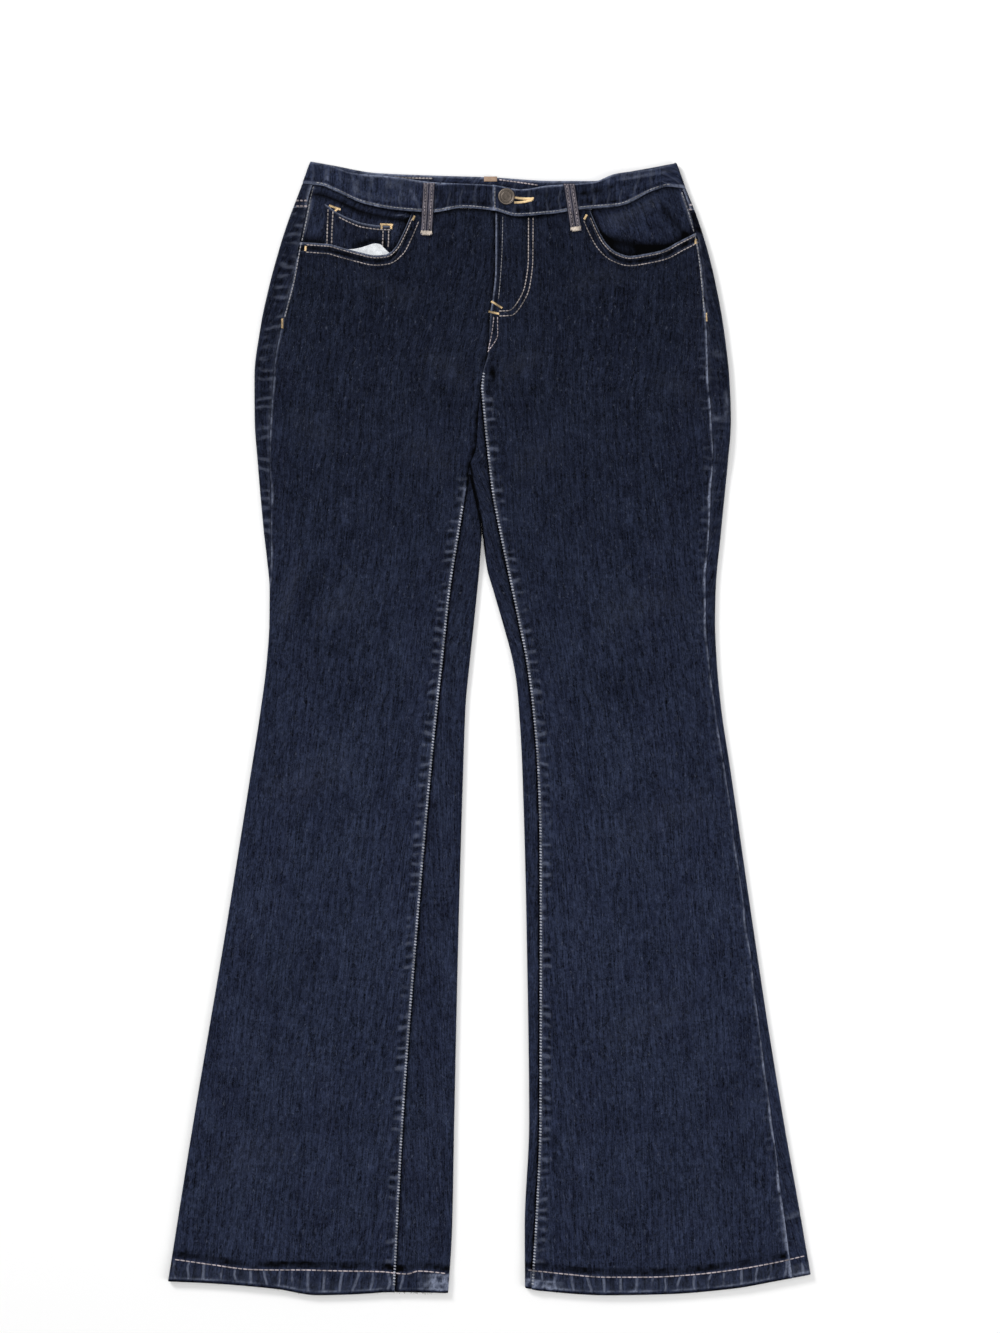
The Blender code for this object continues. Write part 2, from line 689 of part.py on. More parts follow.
def pocket_lining():
    """The pocket bag's front layer, white, showing above the opening's edge."""
    top = smooth(LINING_TOP)
    across_piece("pocket_lining_right", LINING_COLUMNS, lambda x: LINING_FOOT, top, LINING_ROWS,
                 lambda x, y: SEAT_LIFT + RIGHT.height(x, y) - LAYER, finish="pocketing")


def plate(name, outline, floor, thickness, finish="denim", lip=0.25):
    """A flat piece of cloth cut to an outline, with its upper edges eased."""
    bm = bmesh.new()
    base = bm.faces.new([bm.verts.new((x, y, floor)) for x, y in outline])
    grown = bmesh.ops.extrude_face_region(bm, geom=[base])["geom"]
    top = [item for item in grown if isinstance(item, bmesh.types.BMVert)]
    bmesh.ops.translate(bm, vec=(0, 0, thickness), verts=top)
    middle = [sum(c) / len(outline) for c in zip(*outline)]
    for vert in top:
        vert.co.x += lip * (1 if vert.co.x < middle[0] else -1)
        vert.co.y += lip * (1 if vert.co.y < middle[1] else -1)
    return finish_object(name, bm, finish)


def back_pocket(label, half):
    """A back pocket: square at the top and pointed at the foot, under the seat."""
    width, depth = POCKET_SIZE
    turn = math.radians(POCKET_TILT) * half.side
    outline = []
    for across, along in POCKET_SHAPE:
        x = across * width
        y = along * depth
        outline.append((half.side * POCKET_X + x * math.cos(turn) - y * math.sin(turn),
                        POCKET_TOP + x * math.sin(turn) + y * math.cos(turn)))
    return plate("back_pocket_%s" % label, outline, 0.0, CLOTH)


def front_loop(label, half):
    """A belt loop over the front band, its lower end sewn down on the panel."""
    top, foot, width = FRONT_LOOPS[half.side]
    length = top[1] - foot[1]

    def point(corner, side):
        i, j = corner
        share = LOOP_STATIONS[j]
        x = top[0] + (foot[0] - top[0]) * share + half.side * width * (i / 2 - 0.5)
        y = top[1] - length * share
        panel = SEAT_LIFT + half.height(x, y)
        band = SEAT_LIFT + BAND_HEIGHT
        base = panel + (band - panel) * ease(y - front_band_foot(x), *LOOP_RAMP)
        return x, y, base + GAP + LOOP_CLOTH * (1 - side)

    return cloth_wall("belt_loop_front_%s" % label, grid_cells(3, len(LOOP_STATIONS)), point)


def under_loop(label, x):
    """A belt loop on the back band, between the band and the surface underneath."""
    width, length = LOOP_SIZE
    top = back_band_top(x) - LOOP_DROP
    outline = ((x - width / 2, top), (x + width / 2, top),
               (x + width / 2, top - length), (x - width / 2, top - length))
    return plate("belt_loop_%s" % label, outline, 0.0, CLOTH)


def box(name, low, high, finish):
    outline = ((low[0], low[1]), (high[0], low[1]), (high[0], high[1]), (low[0], high[1]))
    return plate(name, outline, low[2], high[2] - low[2], finish)


def turned(name, profile, centre, finish, segments=28):
    """A solid turned round a vertical axis from a profile of (radius, height), foot first."""
    bm = bmesh.new()
    line = [bm.verts.new((centre[0] + radius, centre[1], height)) for radius, height in profile]
    edges = [bm.edges.new(pair) for pair in zip(line, line[1:])]
    bmesh.ops.spin(bm, geom=line + edges, cent=(*centre, 0), axis=(0, 0, 1),
                   angle=math.tau, steps=segments, use_merge=True)
    bmesh.ops.remove_doubles(bm, verts=bm.verts, dist=0.01)
    return finish_object(name, bm, finish)


def cut(thing, name, low, high, round_radius=0.0):
    """Cut a slot, or a round eye where round_radius is given, down through a piece."""
    bm = bmesh.new()
    middle = [(a + b) / 2 for a, b in zip(low, high)]
    if round_radius:
        bmesh.ops.create_cone(bm, cap_ends=True, segments=20, radius1=round_radius,
                              radius2=round_radius, depth=high[2] - low[2])
    else:
        bmesh.ops.create_cube(bm, size=1.0)
        bmesh.ops.scale(bm, vec=[b - a for a, b in zip(low, high)], verts=bm.verts)
    bmesh.ops.translate(bm, vec=middle, verts=bm.verts)
    cutter = finish_object(name, bm, "bronze")
    cutter.hide_render = True
    cutter.display_type = "WIRE"
    modifier = thing.modifiers.new(name, "BOOLEAN")
    modifier.operation = "DIFFERENCE"
    modifier.solver = "EXACT"
    modifier.object = cutter


def fly_and_button(left_band):
    """The button through its hole in the lapping band, and the closed zip behind the fly."""
    length, slot, eye = BUTTONHOLE
    x, y = BUTTON_AT
    top = SEAT_LIFT + BAND_HEIGHT + LAP_RISE
    through = (top - 3 * BAND_CLOTH, top + BAND_CLOTH)
    cut(left_band, "buttonhole_eye", (x - eye, y - eye, through[0]), (x + eye, y + eye, through[1]),
        round_radius=eye)
    cut(left_band, "buttonhole_slot", (x, y - slot / 2, through[0]),
        (x + length, y + slot / 2, through[1]))
    foot = SEAT_LIFT + BAND_HEIGHT + GAP
    cap = top + GAP
    radius = BUTTON_RADIUS
    turned("button", (
        (0.0, foot), (SHANK_RADIUS, foot), (SHANK_RADIUS, cap), (radius - 0.8, cap),
        (radius, cap + 0.5), (radius, cap + 1.1), (radius - 0.6, cap + 1.7),
        (radius - 1.6, cap + 1.7), (radius - 2.0, cap + 1.4), (0.0, cap + 1.6)),
        BUTTON_AT, "bronze")
    floor = SEAT_LIFT + LAYER
    box("zip", (ZIP_X[0], ZIP_Y[0], floor), (ZIP_X[1], ZIP_Y[1], floor + ZIP_THICKNESS),
        "zip_tape")


def build():
    clear_scene()
    front_panel("right", RIGHT, RIGHT_COLUMNS)
    front_panel("left", LEFT, LEFT_COLUMNS)
    back_panel("right", RIGHT, RIGHT_TONGUE_TOP)
    back_panel("left", LEFT, LEFT_TONGUE_TOP)
    for label, half in HALVES:
        yoke(label, half)
        back_pocket(label, half)
    waistband_back()
    waistband_front("right", [BAND_SEAM_RIGHT + GAP / 2] + list(RIGHT_BAND_COLUMNS),
                    lambda x: 0.0)
    left_band = waistband_front(
        "left", [FLY_END] + list(LEFT_BAND_COLUMNS) + [BAND_SEAM_LEFT - GAP / 2], lap_rise)
    pocket_facing("right", RIGHT)
    pocket_facing("left", LEFT)
    coin_pocket()
    pocket_lining()
    front_loop("right", RIGHT)
    front_loop("left", LEFT)
    for label, x in UNDER_LOOPS:
        under_loop(label, x)
    fly_and_button(left_band)
    box("waist_tab", (TAB_X[0], TAB_Y[0], TAB_FLOOR), (TAB_X[1], TAB_Y[1], TAB_FLOOR + CLOTH),
        "tan_tab")


build()
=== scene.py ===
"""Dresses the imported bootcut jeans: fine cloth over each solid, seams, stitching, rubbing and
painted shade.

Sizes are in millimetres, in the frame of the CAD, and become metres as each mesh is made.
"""
import math

import bpy
import numpy as np
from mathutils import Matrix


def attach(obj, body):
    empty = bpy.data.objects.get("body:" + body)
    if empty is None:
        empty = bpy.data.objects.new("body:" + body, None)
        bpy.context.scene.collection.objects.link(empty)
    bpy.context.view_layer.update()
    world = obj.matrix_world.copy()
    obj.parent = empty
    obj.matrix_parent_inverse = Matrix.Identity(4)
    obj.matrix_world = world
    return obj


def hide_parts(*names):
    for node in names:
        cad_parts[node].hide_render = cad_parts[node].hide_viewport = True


bl_info = {
    "name": "Bootcut jeans dressing",
    "version": (1, 0, 0),
    "blender": (4, 5, 0),
    "location": "View3D > Sidebar > Jeans",
    "description": "Cloth, stitching, button and studio for a pair of flat-laid bootcut jeans",
    "category": "Object",
}

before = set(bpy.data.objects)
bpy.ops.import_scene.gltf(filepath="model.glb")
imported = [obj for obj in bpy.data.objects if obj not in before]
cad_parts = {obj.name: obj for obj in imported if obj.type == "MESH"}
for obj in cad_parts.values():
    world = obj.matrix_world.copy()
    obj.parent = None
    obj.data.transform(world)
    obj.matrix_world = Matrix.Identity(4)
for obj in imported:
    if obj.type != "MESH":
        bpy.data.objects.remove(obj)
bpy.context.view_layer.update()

MM = 0.001

# Cloth and seams, as in the solids
CLOTH = 1.0
GAP = 0.3
BAND_GAP = 0.7
LAYER = CLOTH + GAP
BAND_CLOTH = 2.0
HEM_CLOTH = 2.3
HEM_DEPTH = 16.6
HEM_RAMP = 10.0
LEG_HEIGHT = 3.0
FOLD_HEIGHT = 4.4
HEM_HEIGHT = 5.2
BAND_HEIGHT = 4.8
SEAT_LIFT = LAYER
SEAT_RAMP = (226.0, 264.0)
HIP_RAMP = (306.0, 330.0)
HIP_EXTRA = 0.7
ZIP_EXTRA = 0.6
COIN_EXTRA = 2.6
FOLD_REACH = 14.0
FORK_Y = 184.0
FORK_X = -7.5
FORK_BLEND = 9.0
TONGUE_BLEND = 0.3
LEFT_INSEAM_TOP = 318.0
RIGHT_INSEAM_TOP = 224.0
RISE_LINE_TOP = 245.0
TONGUE_TOPS = {-1: 238.0, 1: 315.0}
BAND_SEAMS = {-1: -147.6, 1: 160.7}
FLY_END = 2.5
OVERLAP_RAMP = (47.0, 66.0)
LAP_RISE = BAND_CLOTH + GAP
UNDER_CLEAR = 0.28       # room under the lowest cloth for its stitches

# Side of each leg seen from above: height up the leg, side fold, how far in the outseam lies
RIGHT_SIDE = (
    (531, -169.0, 11.0), (505, -178.3, 11.5), (480, -187.9, 15.7), (450, -197.8, 19.2),
    (415, -207.3, 22.0), (375, -215.8, 20.5), (330, -221.2, 19.0), (290, -220.9, 16.0),
    (250, -218.2, 12.8), (184, -212.4, 8.0), (160, -209.6, 5.0), (130, -207.0, -1.0),
    (100, -207.2, -7.5), (65, -209.4, -9.5), (20, -215.0, -10.0), (-40, -224.3, -10.0),
    (-190, -248.2, -10.0), (-370, -278.6, -10.0), (-525, -303.2, -10.0),
)
LEFT_SIDE = (
    (531, 175.0, 3.5), (505, 184.3, 4.5), (480, 194.2, 6.0), (450, 203.8, 8.5),
    (415, 212.3, 12.8), (375, 219.4, 17.0), (330, 224.7, 21.0), (290, 226.3, 19.5),
    (250, 223.4, 15.5), (184, 217.0, 12.5), (130, 212.0, 10.5), (100, 211.4, 9.8),
    (65, 212.8, 8.3), (20, 217.0, 6.8), (-40, 225.9, 6.2), (-190, 247.6, 7.0),
    (-280, 261.2, 9.5), (-370, 276.0, 12.3), (-450, 290.2, 16.0), (-525, 303.2, 19.5),
)
RIGHT_INNER = ((184, -7.6), (150, -10.0), (100, -15.0), (65, -18.7), (20, -23.0), (-40, -25.2),
               (-190, -29.6), (-370, -33.6), (-470, -35.6), (-540, -40.0))
LEFT_INNER = ((184, -7.4), (150, -2.8), (130, 2.9), (100, 11.6), (65, 21.0), (45, 24.6),
              (20, 27.0), (-40, 30.4), (-190, 34.4), (-370, 36.8), (-470, 32.6), (-540, 33.0))
RIGHT_FRONT_EDGE = ((512, 5.0), (432, 4.7), (402, 2.0), (390, 0.0), (352, -2.0), (336, -6.6),
                    (320, -8.4), (300, -10.6), (264, -13.0), (246, -19.0), (226, -22.0),
                    (184, -28.9), (130, -37.3), (65, -44.2), (20, -49.2), (-40, -55.2),
                    (-190, -68.2), (-370, -81.5), (-540, -90.0))
LEFT_INSEAM = ((318, -8.1), (290, -5.6), (254, -1.9), (220, 2.2), (184, 9.1), (130, 20.4),
               (100, 26.7), (65, 33.7), (20, 39.8), (-40, 44.6), (-110, 46.6), (-190, 46.8),
               (-370, 46.4), (-450, 43.3), (-540, 38.0))
RISE_LINE = ((184, -7.5), (197, -9.0), (229, -16.0), (246, -19.0))
BACK_CENTRE = ((200, -7.6), (260, -5.0), (340, -1.0), (420, 0.0), (520, 0.0))
FRONT_BAND_FOOT = ((-178, 511), (-158, 509), (-145, 504), (-118, 492), (-86, 486), (-53, 484),
                   (-26, 488), (3, 485.5), (25, 480), (54, 482), (87, 487), (121, 490),
                   (154, 504.5), (168, 508), (186, 506))
FRONT_BAND_TOP = ((-172, 532), (-150, 528), (-130, 521), (-89, 517), (-53, 512), (0, 509.5),
                  (29, 505), (57, 509), (96, 512), (118, 520), (152, 524.5), (178, 531))
BACK_BAND_FOOT = ((-178, 511), (-150, 503), (-107, 493.5), (-53, 489.5), (0, 488), (60, 485.5),
                  (110, 488), (150, 498), (186, 506))
BACK_BAND_TOP = ((-172, 532), (-150, 528.5), (-107, 521), (-53, 518.6), (0, 517), (57, 513.6),
                 (97, 513.5), (130, 522), (152, 526), (178, 531))
YOKE_SEAM = ((-190, 490), (-150, 474), (-75, 448), (0, 432), (75, 446), (150, 472), (195, 487))
RIGHT_HEM = ((-304, -519), (-260, -521), (-201, -526), (-162, -532), (-122, -531), (-92, -529),
             (-38, -530))
LEFT_HEM = ((32, -525), (49, -528), (108, -532), (167, -531), (227, -526), (267, -519),
            (304, -512))
RIGHT_POCKET_EDGE = ((-200, 457), (-169, 455.5), (-152, 454), (-137, 450), (-122, 446),
                     (-107, 443), (-97, 444), (-89, 450), (-82, 463), (-76, 477))
LEFT_POCKET_EDGE = ((98, 476), (101, 469), (109, 455), (118, 447), (131, 443), (146, 445),
                    (163, 449), (176, 456), (200, 468))
COIN_POCKET_TOP = ((-155, 492), (-142, 483), (-130, 477.5), (-120, 474), (-102, 471.5),
                   (-93, 471))
LINING_TOP = ((-140, 447.5), (-122, 450.5), (-108, 454), (-103, 453.5), (-98, 449), (-92, 444))
LOOP_SIZE = (12.2, 50.0)
POCKET_SIZE = (134.0, 146.0)
POCKET_X = 112.0
POCKET_TOP = 437.0
POCKET_TILT = -3.0
TAB_CORNER = (-5.6, 513.0)
TAB_SIZE = (12.2, 4.6)
BUTTON_AT = (15.5, 498.0)
BUTTON_RADIUS = 7.8
BUTTONHOLE_END = 40.0

# Creases pressed into the cloth: from x, y to x, y, half-width, height (minus = trough), bow
FRONT_CREASES = (
    (-20, 318, -64, 352, 9.0, 0.35, 4.0),
    (-16, 300, -72, 316, 10.0, -0.30, -5.0),
    (4, 322, 52, 352, 9.0, 0.35, -4.0),
    (6, 300, 66, 306, 11.0, -0.28, 5.0),
    (-34, 240, -84, 262, 12.0, 0.30, 6.0),
    (20, 236, 70, 262, 12.0, 0.28, -6.0),
    (-190, 300, -140, 268, 10.0, 0.25, 5.0),
    (150, 330, 205, 300, 10.0, 0.25, -5.0),
    (-190, 96, -120, 132, 13.0, 0.30, 8.0),
    (-186, 62, -96, 78, 15.0, -0.28, -7.0),
    (-157, 166, -184, 82, 6.5, -0.80, -2.0),
    (-176, 158, -197, 96, 6.5, 0.45, 2.0),
    (150, 372, 196, 352, 5.0, -0.35, -3.0),
    (96, 92, 188, 120, 14.0, 0.30, -8.0),
    (84, 40, 176, 66, 15.0, -0.26, 8.0),
    (-214, -60, -130, -20, 16.0, 0.26, 9.0),
    (118, -110, 214, -70, 16.0, 0.25, -9.0),
    (-240, -250, -150, -216, 18.0, -0.24, 9.0),
    (100, -300, 196, -262, 18.0, 0.24, -9.0),
    (-262, -420, -178, -392, 16.0, 0.24, -7.0),
    (150, -430, 246, -404, 16.0, -0.24, 8.0),
    (-120, 424, -60, 404, 9.0, 0.28, 6.0),
    (70, 410, 130, 424, 9.0, 0.28, -6.0),
)
BACK_CREASES = (
    (-12, 236, -92, 252, 10.0, 0.40, 7.0),
    (-14, 212, -100, 204, 11.0, 0.35, -8.0),
    (4, 238, 86, 256, 10.0, 0.40, -7.0),
    (6, 214, 96, 200, 11.0, 0.35, 8.0),
    (-176, 232, -96, 222, 12.0, 0.30, 6.0),
    (104, 226, 180, 240, 12.0, 0.30, -6.0),
    (-190, 70, -88, 92, 13.0, 0.35, 9.0),
    (-196, 38, -94, 46, 12.0, 0.30, -8.0),
    (82, 84, 190, 62, 13.0, 0.35, 9.0),
    (88, 46, 196, 30, 12.0, 0.30, -8.0),
    (-236, -200, -140, -176, 15.0, 0.25, 9.0),
    (110, -220, 210, -196, 15.0, 0.25, -9.0),
    (-270, -420, -170, -400, 16.0, 0.22, 8.0),
    (130, -440, 240, -412, 16.0, 0.22, -8.0),
)
SIDE_CREASES = (
    (204, 290, 226, 288, 1.9, 0.70, 0.0),
    (205, 285, 226, 284, 2.0, -0.50, 0.0),
    (221, 291, 221, 318, 1.8, 0.60, 1.0),
    (276, -460, 298, -454, 1.9, 0.70, 0.0),
    (276, -466, 298, -460, 2.2, -0.70, 0.0),
    (208, 352, 220, 349, 2.0, 0.50, 0.0),
    (206, 322, 222, 326, 2.0, -0.45, 0.0),
    (-14, 265, -4, 252, 1.2, 0.55, 0.0),
    (-13, 244, -4, 236, 3.0, 0.22, 0.0),
)
BAND_CREASES = (
    (80, 499, 181, 520, 2.0, -0.85, -1.5),
    (108, 495, 152, 507, 1.7, -0.65, -1.0),
    (92, 506, 178, 523, 1.6, 0.45, -1.5),
    (112, 515, 110, 505, 1.6, 0.50, 0.0),
    (108, 500, 105, 491, 1.8, 0.45, 0.0),
    (136, 508, 133, 497, 1.6, 0.35, 0.0),
    (-147, 523, -124, 517, 1.8, -0.55, 1.0),
    (-152, 525, -153, 509, 1.6, 0.50, 0.0),
    (-125, 514, -126, 500, 1.8, 0.45, 0.0),
    (-122, 506, -90, 503, 1.6, -0.50, 1.0),
    (-110, 517, -112, 505, 1.6, 0.40, 0.0),
    (-94, 516, -92, 506, 1.7, 0.40, 0.0),
    (-76, 508, -70, 494, 1.6, 0.35, 0.0),
    (-44, 506, -42, 492, 1.7, 0.40, 0.0),
    (-16, 503, -30, 497, 1.7, 0.40, 0.0),
    (52, 503, 60, 490, 1.8, -0.35, 0.0),
)

# Stitch rows measured across the piece: x, y
RIGHT_HEM_STITCH = ((-300, -498), (-260, -503.5), (-221, -508), (-181, -508.5), (-142, -509.5),
                    (-102, -510), (-78, -512), (-67, -509.5), (-37, -512))
LEFT_HEM_STITCH = ((33, -508), (69, -512), (108, -515), (148, -515), (187, -513), (227, -508.5),
                   (267, -501.5), (300, -494))
FLY_EDGE_STITCH = ((12.0, 480), (11.4, 450), (9.6, 420), (8.0, 402))
J_STITCHES = (
    ((40.5, 479), (40.2, 440), (37.2, 414), (31.0, 399), (19.5, 387), (8.5, 386.5)),
    ((36.2, 479), (36.0, 440), (32.8, 415), (27.4, 402), (17.6, 391.5), (8.0, 391)),
)
CROTCH_STITCHES = (
    ((3.7, 386), (2.0, 372), (-1.6, 354.5)),
    ((7.1, 386), (7.3, 370), (-2.6, 352)),
)
INSIDE_STITCHES = (
    ((-90, 517.3), (-78, 516.2), (-54, 515.8)),
    ((8.5, 514.6), (25, 512.4), (45, 509.4)),
)
COIN_STITCHES = (
    ((-151.8, 487), (-152.6, 466), (-152.9, 452)),
    ((-147.2, 485), (-148.2, 466), (-148.6, 451)),
    ((-100.2, 467), (-100.6, 456), (-101, 450)),
    ((-95.0, 467), (-95.2, 456), (-95.6, 451)),
    ((-142, 479.4), (-129.7, 473.4), (-120.3, 470.0), (-102.5, 467.7), (-92.5, 467.4)),
)
BARTACKS = (
    # x, y, length, turn in degrees, surface
    (-145.6, 488.6, 11.5, -20.0, "facing"),
    (-146.0, 484.6, 9.0, 42.0, "facing"),
    (-150.6, 486.0, 5.0, 80.0, "facing"),
    (-97.0, 472.4, 12.0, -3.0, "coin"),
    (-101.6, 470.0, 3.6, 88.0, "coin"),
    (-92.6, 470.0, 3.6, 88.0, "coin"),
    (-71.6, 478.4, 4.5, 62.0, "panel"),
    (-173.0, 449.8, 4.6, 84.0, "panel"),
    (89.6, 479.4, 5.0, 60.0, "panel"),
    (193.0, 456.4, 4.6, 84.0, "panel"),
    (3.6, 389.6, 10.0, -12.0, "panel"),
    (6.4, 397.0, 12.0, -32.0, "panel"),
    (-194.8, 379.6, 9.0, 90.0, "panel"),
    (203.4, 385.6, 8.0, 90.0, "panel"),
)


def smooth(table, column=1):
    """A curve through a short table that never overshoots its rows."""
    rows = sorted((row[0], row[column]) for row in table)
    xs = np.array([row[0] for row in rows], float)
    ys = np.array([row[1] for row in rows], float)
    runs = np.diff(xs)
    slopes = np.diff(ys) / runs
    product = slopes[1:] * slopes[:-1]
    total = np.where(product > 0, slopes[1:] + slopes[:-1], 1.0)
    tangents = np.where(product > 0, 2 * product / total, 0.0)
    tangents = np.concatenate([slopes[:1], tangents, slopes[-1:]])

    def value(x):
        x = np.asarray(x, float)
        k = np.clip(np.searchsorted(xs, x, side="right") - 1, 0, len(xs) - 2)
        t = (x - xs[k]) / runs[k]
        inside = ((1 + 2 * t) * (1 - t) ** 2 * ys[k] + t * (1 - t) ** 2 * runs[k] * tangents[k]
                  + t * t * (3 - 2 * t) * ys[k + 1]
                  + t * t * (t - 1) * runs[k] * tangents[k + 1])
        before = ys[0] + slopes[0] * (x - xs[0])
        after = ys[-1] + slopes[-1] * (x - xs[-1])
        return np.where(x < xs[0], before, np.where(x > xs[-1], after, inside))

    return value


def ease(x, start, end):
    """0 before start, 1 after end, and smooth between them."""
    t = np.clip((np.asarray(x, float) - start) / (end - start), 0.0, 1.0)
    return t * t * (3 - 2 * t)


def plateau(x, low, high, ramp):
    """1 between low and high, falling to 0 over ramp on either side."""
    return ease(x, low - ramp, low) * (1 - ease(x, high, high + ramp))


def bell(distance, width):
    """1 at no distance, about a third at the width, and soon 0 past it."""
    return np.exp(-(distance / width) ** 2)


class Half:
    """One half of the jeans: its outline, its seams and the height of its flat tube."""

    def __init__(self, label, side, outline, inner, front_edge, hem, stitch, opening, seam_top):
        self.label = label
        self.side = side
        self.hem_stitch = smooth(stitch)
        self.seam_top = seam_top
        self.fold = smooth(outline, 1)
        self.outseam = smooth(outline, 2)
        self.inner = smooth(inner)
        self.front_edge = front_edge
        self.hem = smooth(hem)
        self.opening = smooth(opening)

    def pick(self, right, left):
        return right if self.side < 0 else left

    def underside(self, y):
        return SEAT_LIFT * ease(y, *SEAT_RAMP)

    def hem_share(self, x, y):
        return 1 - ease(y - self.hem(x), HEM_DEPTH, HEM_DEPTH + HEM_RAMP)

    def sewn(self, y):
        """1 down the inseam, and 0 above its top."""
        return 1 - ease(y, self.seam_top, self.seam_top + 16.0)

    def fold_radius(self, x, y):
        height = FOLD_HEIGHT + (HEM_HEIGHT - FOLD_HEIGHT) * self.hem_share(x, y)
        return 0.5 * (height + (BAND_HEIGHT - height) * ease(y, 470.0, 500.0))

    def height(self, x, y):
        """Outside height of the flat tube above its underside at a point of the top layer."""
        fly = plateau(x, -18.0, 26.0, 12.0) * ease(y, 380.0, 390.0)
        coin = plateau(x, -150.0, -86.0, 10.0) * plateau(y, 420.0, 470.0, 24.0)
        flat = (LEG_HEIGHT + HIP_EXTRA * ease(y, *HIP_RAMP) + ZIP_EXTRA * fly + COIN_EXTRA * coin
                + (HEM_HEIGHT - LEG_HEIGHT) * self.hem_share(x, y))
        inner = np.where(y <= FORK_Y, np.abs(x - self.inner(y)), np.hypot(x - FORK_X, y - FORK_Y))
        edge = np.minimum(np.abs(x - self.fold(y)), inner)
        radius = self.fold_radius(x, y)
        rise = 1 - ease((edge - radius) / FOLD_REACH, 0.0, 1.0)
        return flat + (np.maximum(2 * radius, flat) - flat) * rise

    def edge_and_inward(self, inside, y):
        """The fold's outermost line and the direction into the leg. inside: the inner fold."""
        edge = np.where(inside, self.inner(y), self.fold(y))
        return edge, np.where(inside, self.side, -self.side)

    def at_fold(self, inside, s, y, depth, lift=0.0, dent=0.0):
        """x, z of a point s round the ring from the middle of a fold (plus = over the top).

        lift raises the top layer and dent the bottom one, both fading out round the fold.
        """
        edge, inward = self.edge_and_inward(inside, y)
        radius = self.fold_radius(edge, y)
        quarter = math.pi * radius / 2
        floor = self.underside(y)
        angle = np.clip(s, -quarter, quarter) / radius
        x_flat = edge + inward * (radius + np.abs(s) - quarter)
        x_round = edge + inward * (radius - (radius - depth) * np.cos(angle))
        past = np.abs(s) > quarter
        x = np.where(past, x_flat, x_round)
        z_flat = np.where(s > 0, floor + self.height(x_flat, y) - depth, floor + depth)
        z_round = floor + radius + (radius - depth) * np.sin(angle)
        z = np.where(past, z_flat, z_round)
        up = np.clip(angle / (math.pi / 2), -1.0, 1.0)
        return x, z + lift * ease(up, 0.0, 1.0) + dent * ease(-up, 0.0, 1.0)

    def wall(self, inside, s, y, thickness, lift, dent):
        """The outer and the inner face of cloth laid round the ring, as grids of points."""
        faces = []
        for depth in (0.0, thickness):
            x, z = self.at_fold(inside, s, y, depth, lift, dent)
            faces.append(stack(x, y, z))
        return faces

    def along(self, inside, x, y, top=True):
        """The ring position s of a point x of the top or bottom layer."""
        edge, _ = self.edge_and_inward(inside, y)
        radius = self.fold_radius(edge, y)
        s = math.pi * radius / 2 + np.abs(x - edge) - radius
        return s if top else -s


right_front_edge = smooth(RIGHT_FRONT_EDGE)
left_inseam = smooth(LEFT_INSEAM)


def left_front_edge(y):
    return np.where(np.asarray(y) >= LEFT_INSEAM_TOP, right_front_edge(y) + GAP, left_inseam(y))


RIGHT = Half("right", -1, RIGHT_SIDE, RIGHT_INNER, right_front_edge, RIGHT_HEM,
             RIGHT_HEM_STITCH, RIGHT_POCKET_EDGE, RIGHT_INSEAM_TOP)
LEFT = Half("left", 1, LEFT_SIDE, LEFT_INNER, left_front_edge, LEFT_HEM, LEFT_HEM_STITCH,
            LEFT_POCKET_EDGE, LEFT_INSEAM_TOP)
HALVES = (RIGHT, LEFT)

front_band_foot = smooth(FRONT_BAND_FOOT)
front_band_top = smooth(FRONT_BAND_TOP)
back_band_foot = smooth(BACK_BAND_FOOT)
back_band_top = smooth(BACK_BAND_TOP)
yoke_seam = smooth(YOKE_SEAM)
back_centre = smooth(BACK_CENTRE)
rise_line = smooth(RISE_LINE)
coin_top = smooth(COIN_POCKET_TOP)
lining_top = smooth(LINING_TOP)


def panel_top(half, x):
    """Upper edge of a front panel: the pocket opening, then the waistband's foot."""
    return np.minimum(half.opening(x), front_band_foot(x) - BAND_GAP)


def beside_opening(half, x):
    """1 where a front panel ends at the pocket opening, and 0 where it meets the waistband."""
    return np.where(panel_top(half, x) < front_band_foot(x) - BAND_GAP - 0.5, 1.0, 0.0)


# ---------------- relief

class Puckers:
    """Small uneven ridges beside a seam, where its thread drew the cloth up."""

    ENDS = (-560.0, 560.0)

    def __init__(self, seed, pitch):
        start, end = self.ENDS
        chance = np.random.default_rng(seed)
        count = int((end - start) / pitch * 1.25)
        self.at = start + np.cumsum(pitch * chance.uniform(0.6, 1.4, count))
        self.high = chance.uniform(0.25, 1.0, count)
        self.width = chance.uniform(1.9, 3.2, count)
        self.reach = chance.uniform(6.0, 12.5, count)
        self.lean = chance.uniform(-0.4, 0.4, count)

    def __call__(self, y, distance):
        k = np.clip(np.searchsorted(self.at, y), 1, len(self.at) - 1)
        total = 0.0
        for near in (k - 1, k):
            off = (y - self.at[near] - self.lean[near] * distance) / self.width[near]
            fade = 1 - ease(distance / self.reach[near], 0.55, 1.0)
            total += self.high[near] * np.exp(-off * off) * fade
        return np.minimum(total, 1.0)


INSEAM_PUCKERS = {-1: Puckers(11, 11.0), 1: Puckers(12, 11.0)}
STRIP_PUCKERS = {-1: Puckers(13, 13.0), 1: Puckers(14, 13.0)}
OUTSEAM_PUCKERS = {-1: Puckers(15, 11.0), 1: Puckers(16, 12.0)}
HEM_PUCKERS = {-1: Puckers(17, 11.5), 1: Puckers(18, 11.5)}
BAND_PUCKERS = Puckers(19, 9.0)
FRONT_POCKET_PUCKERS = {-1: Puckers(20, 8.5), 1: Puckers(21, 8.5)}


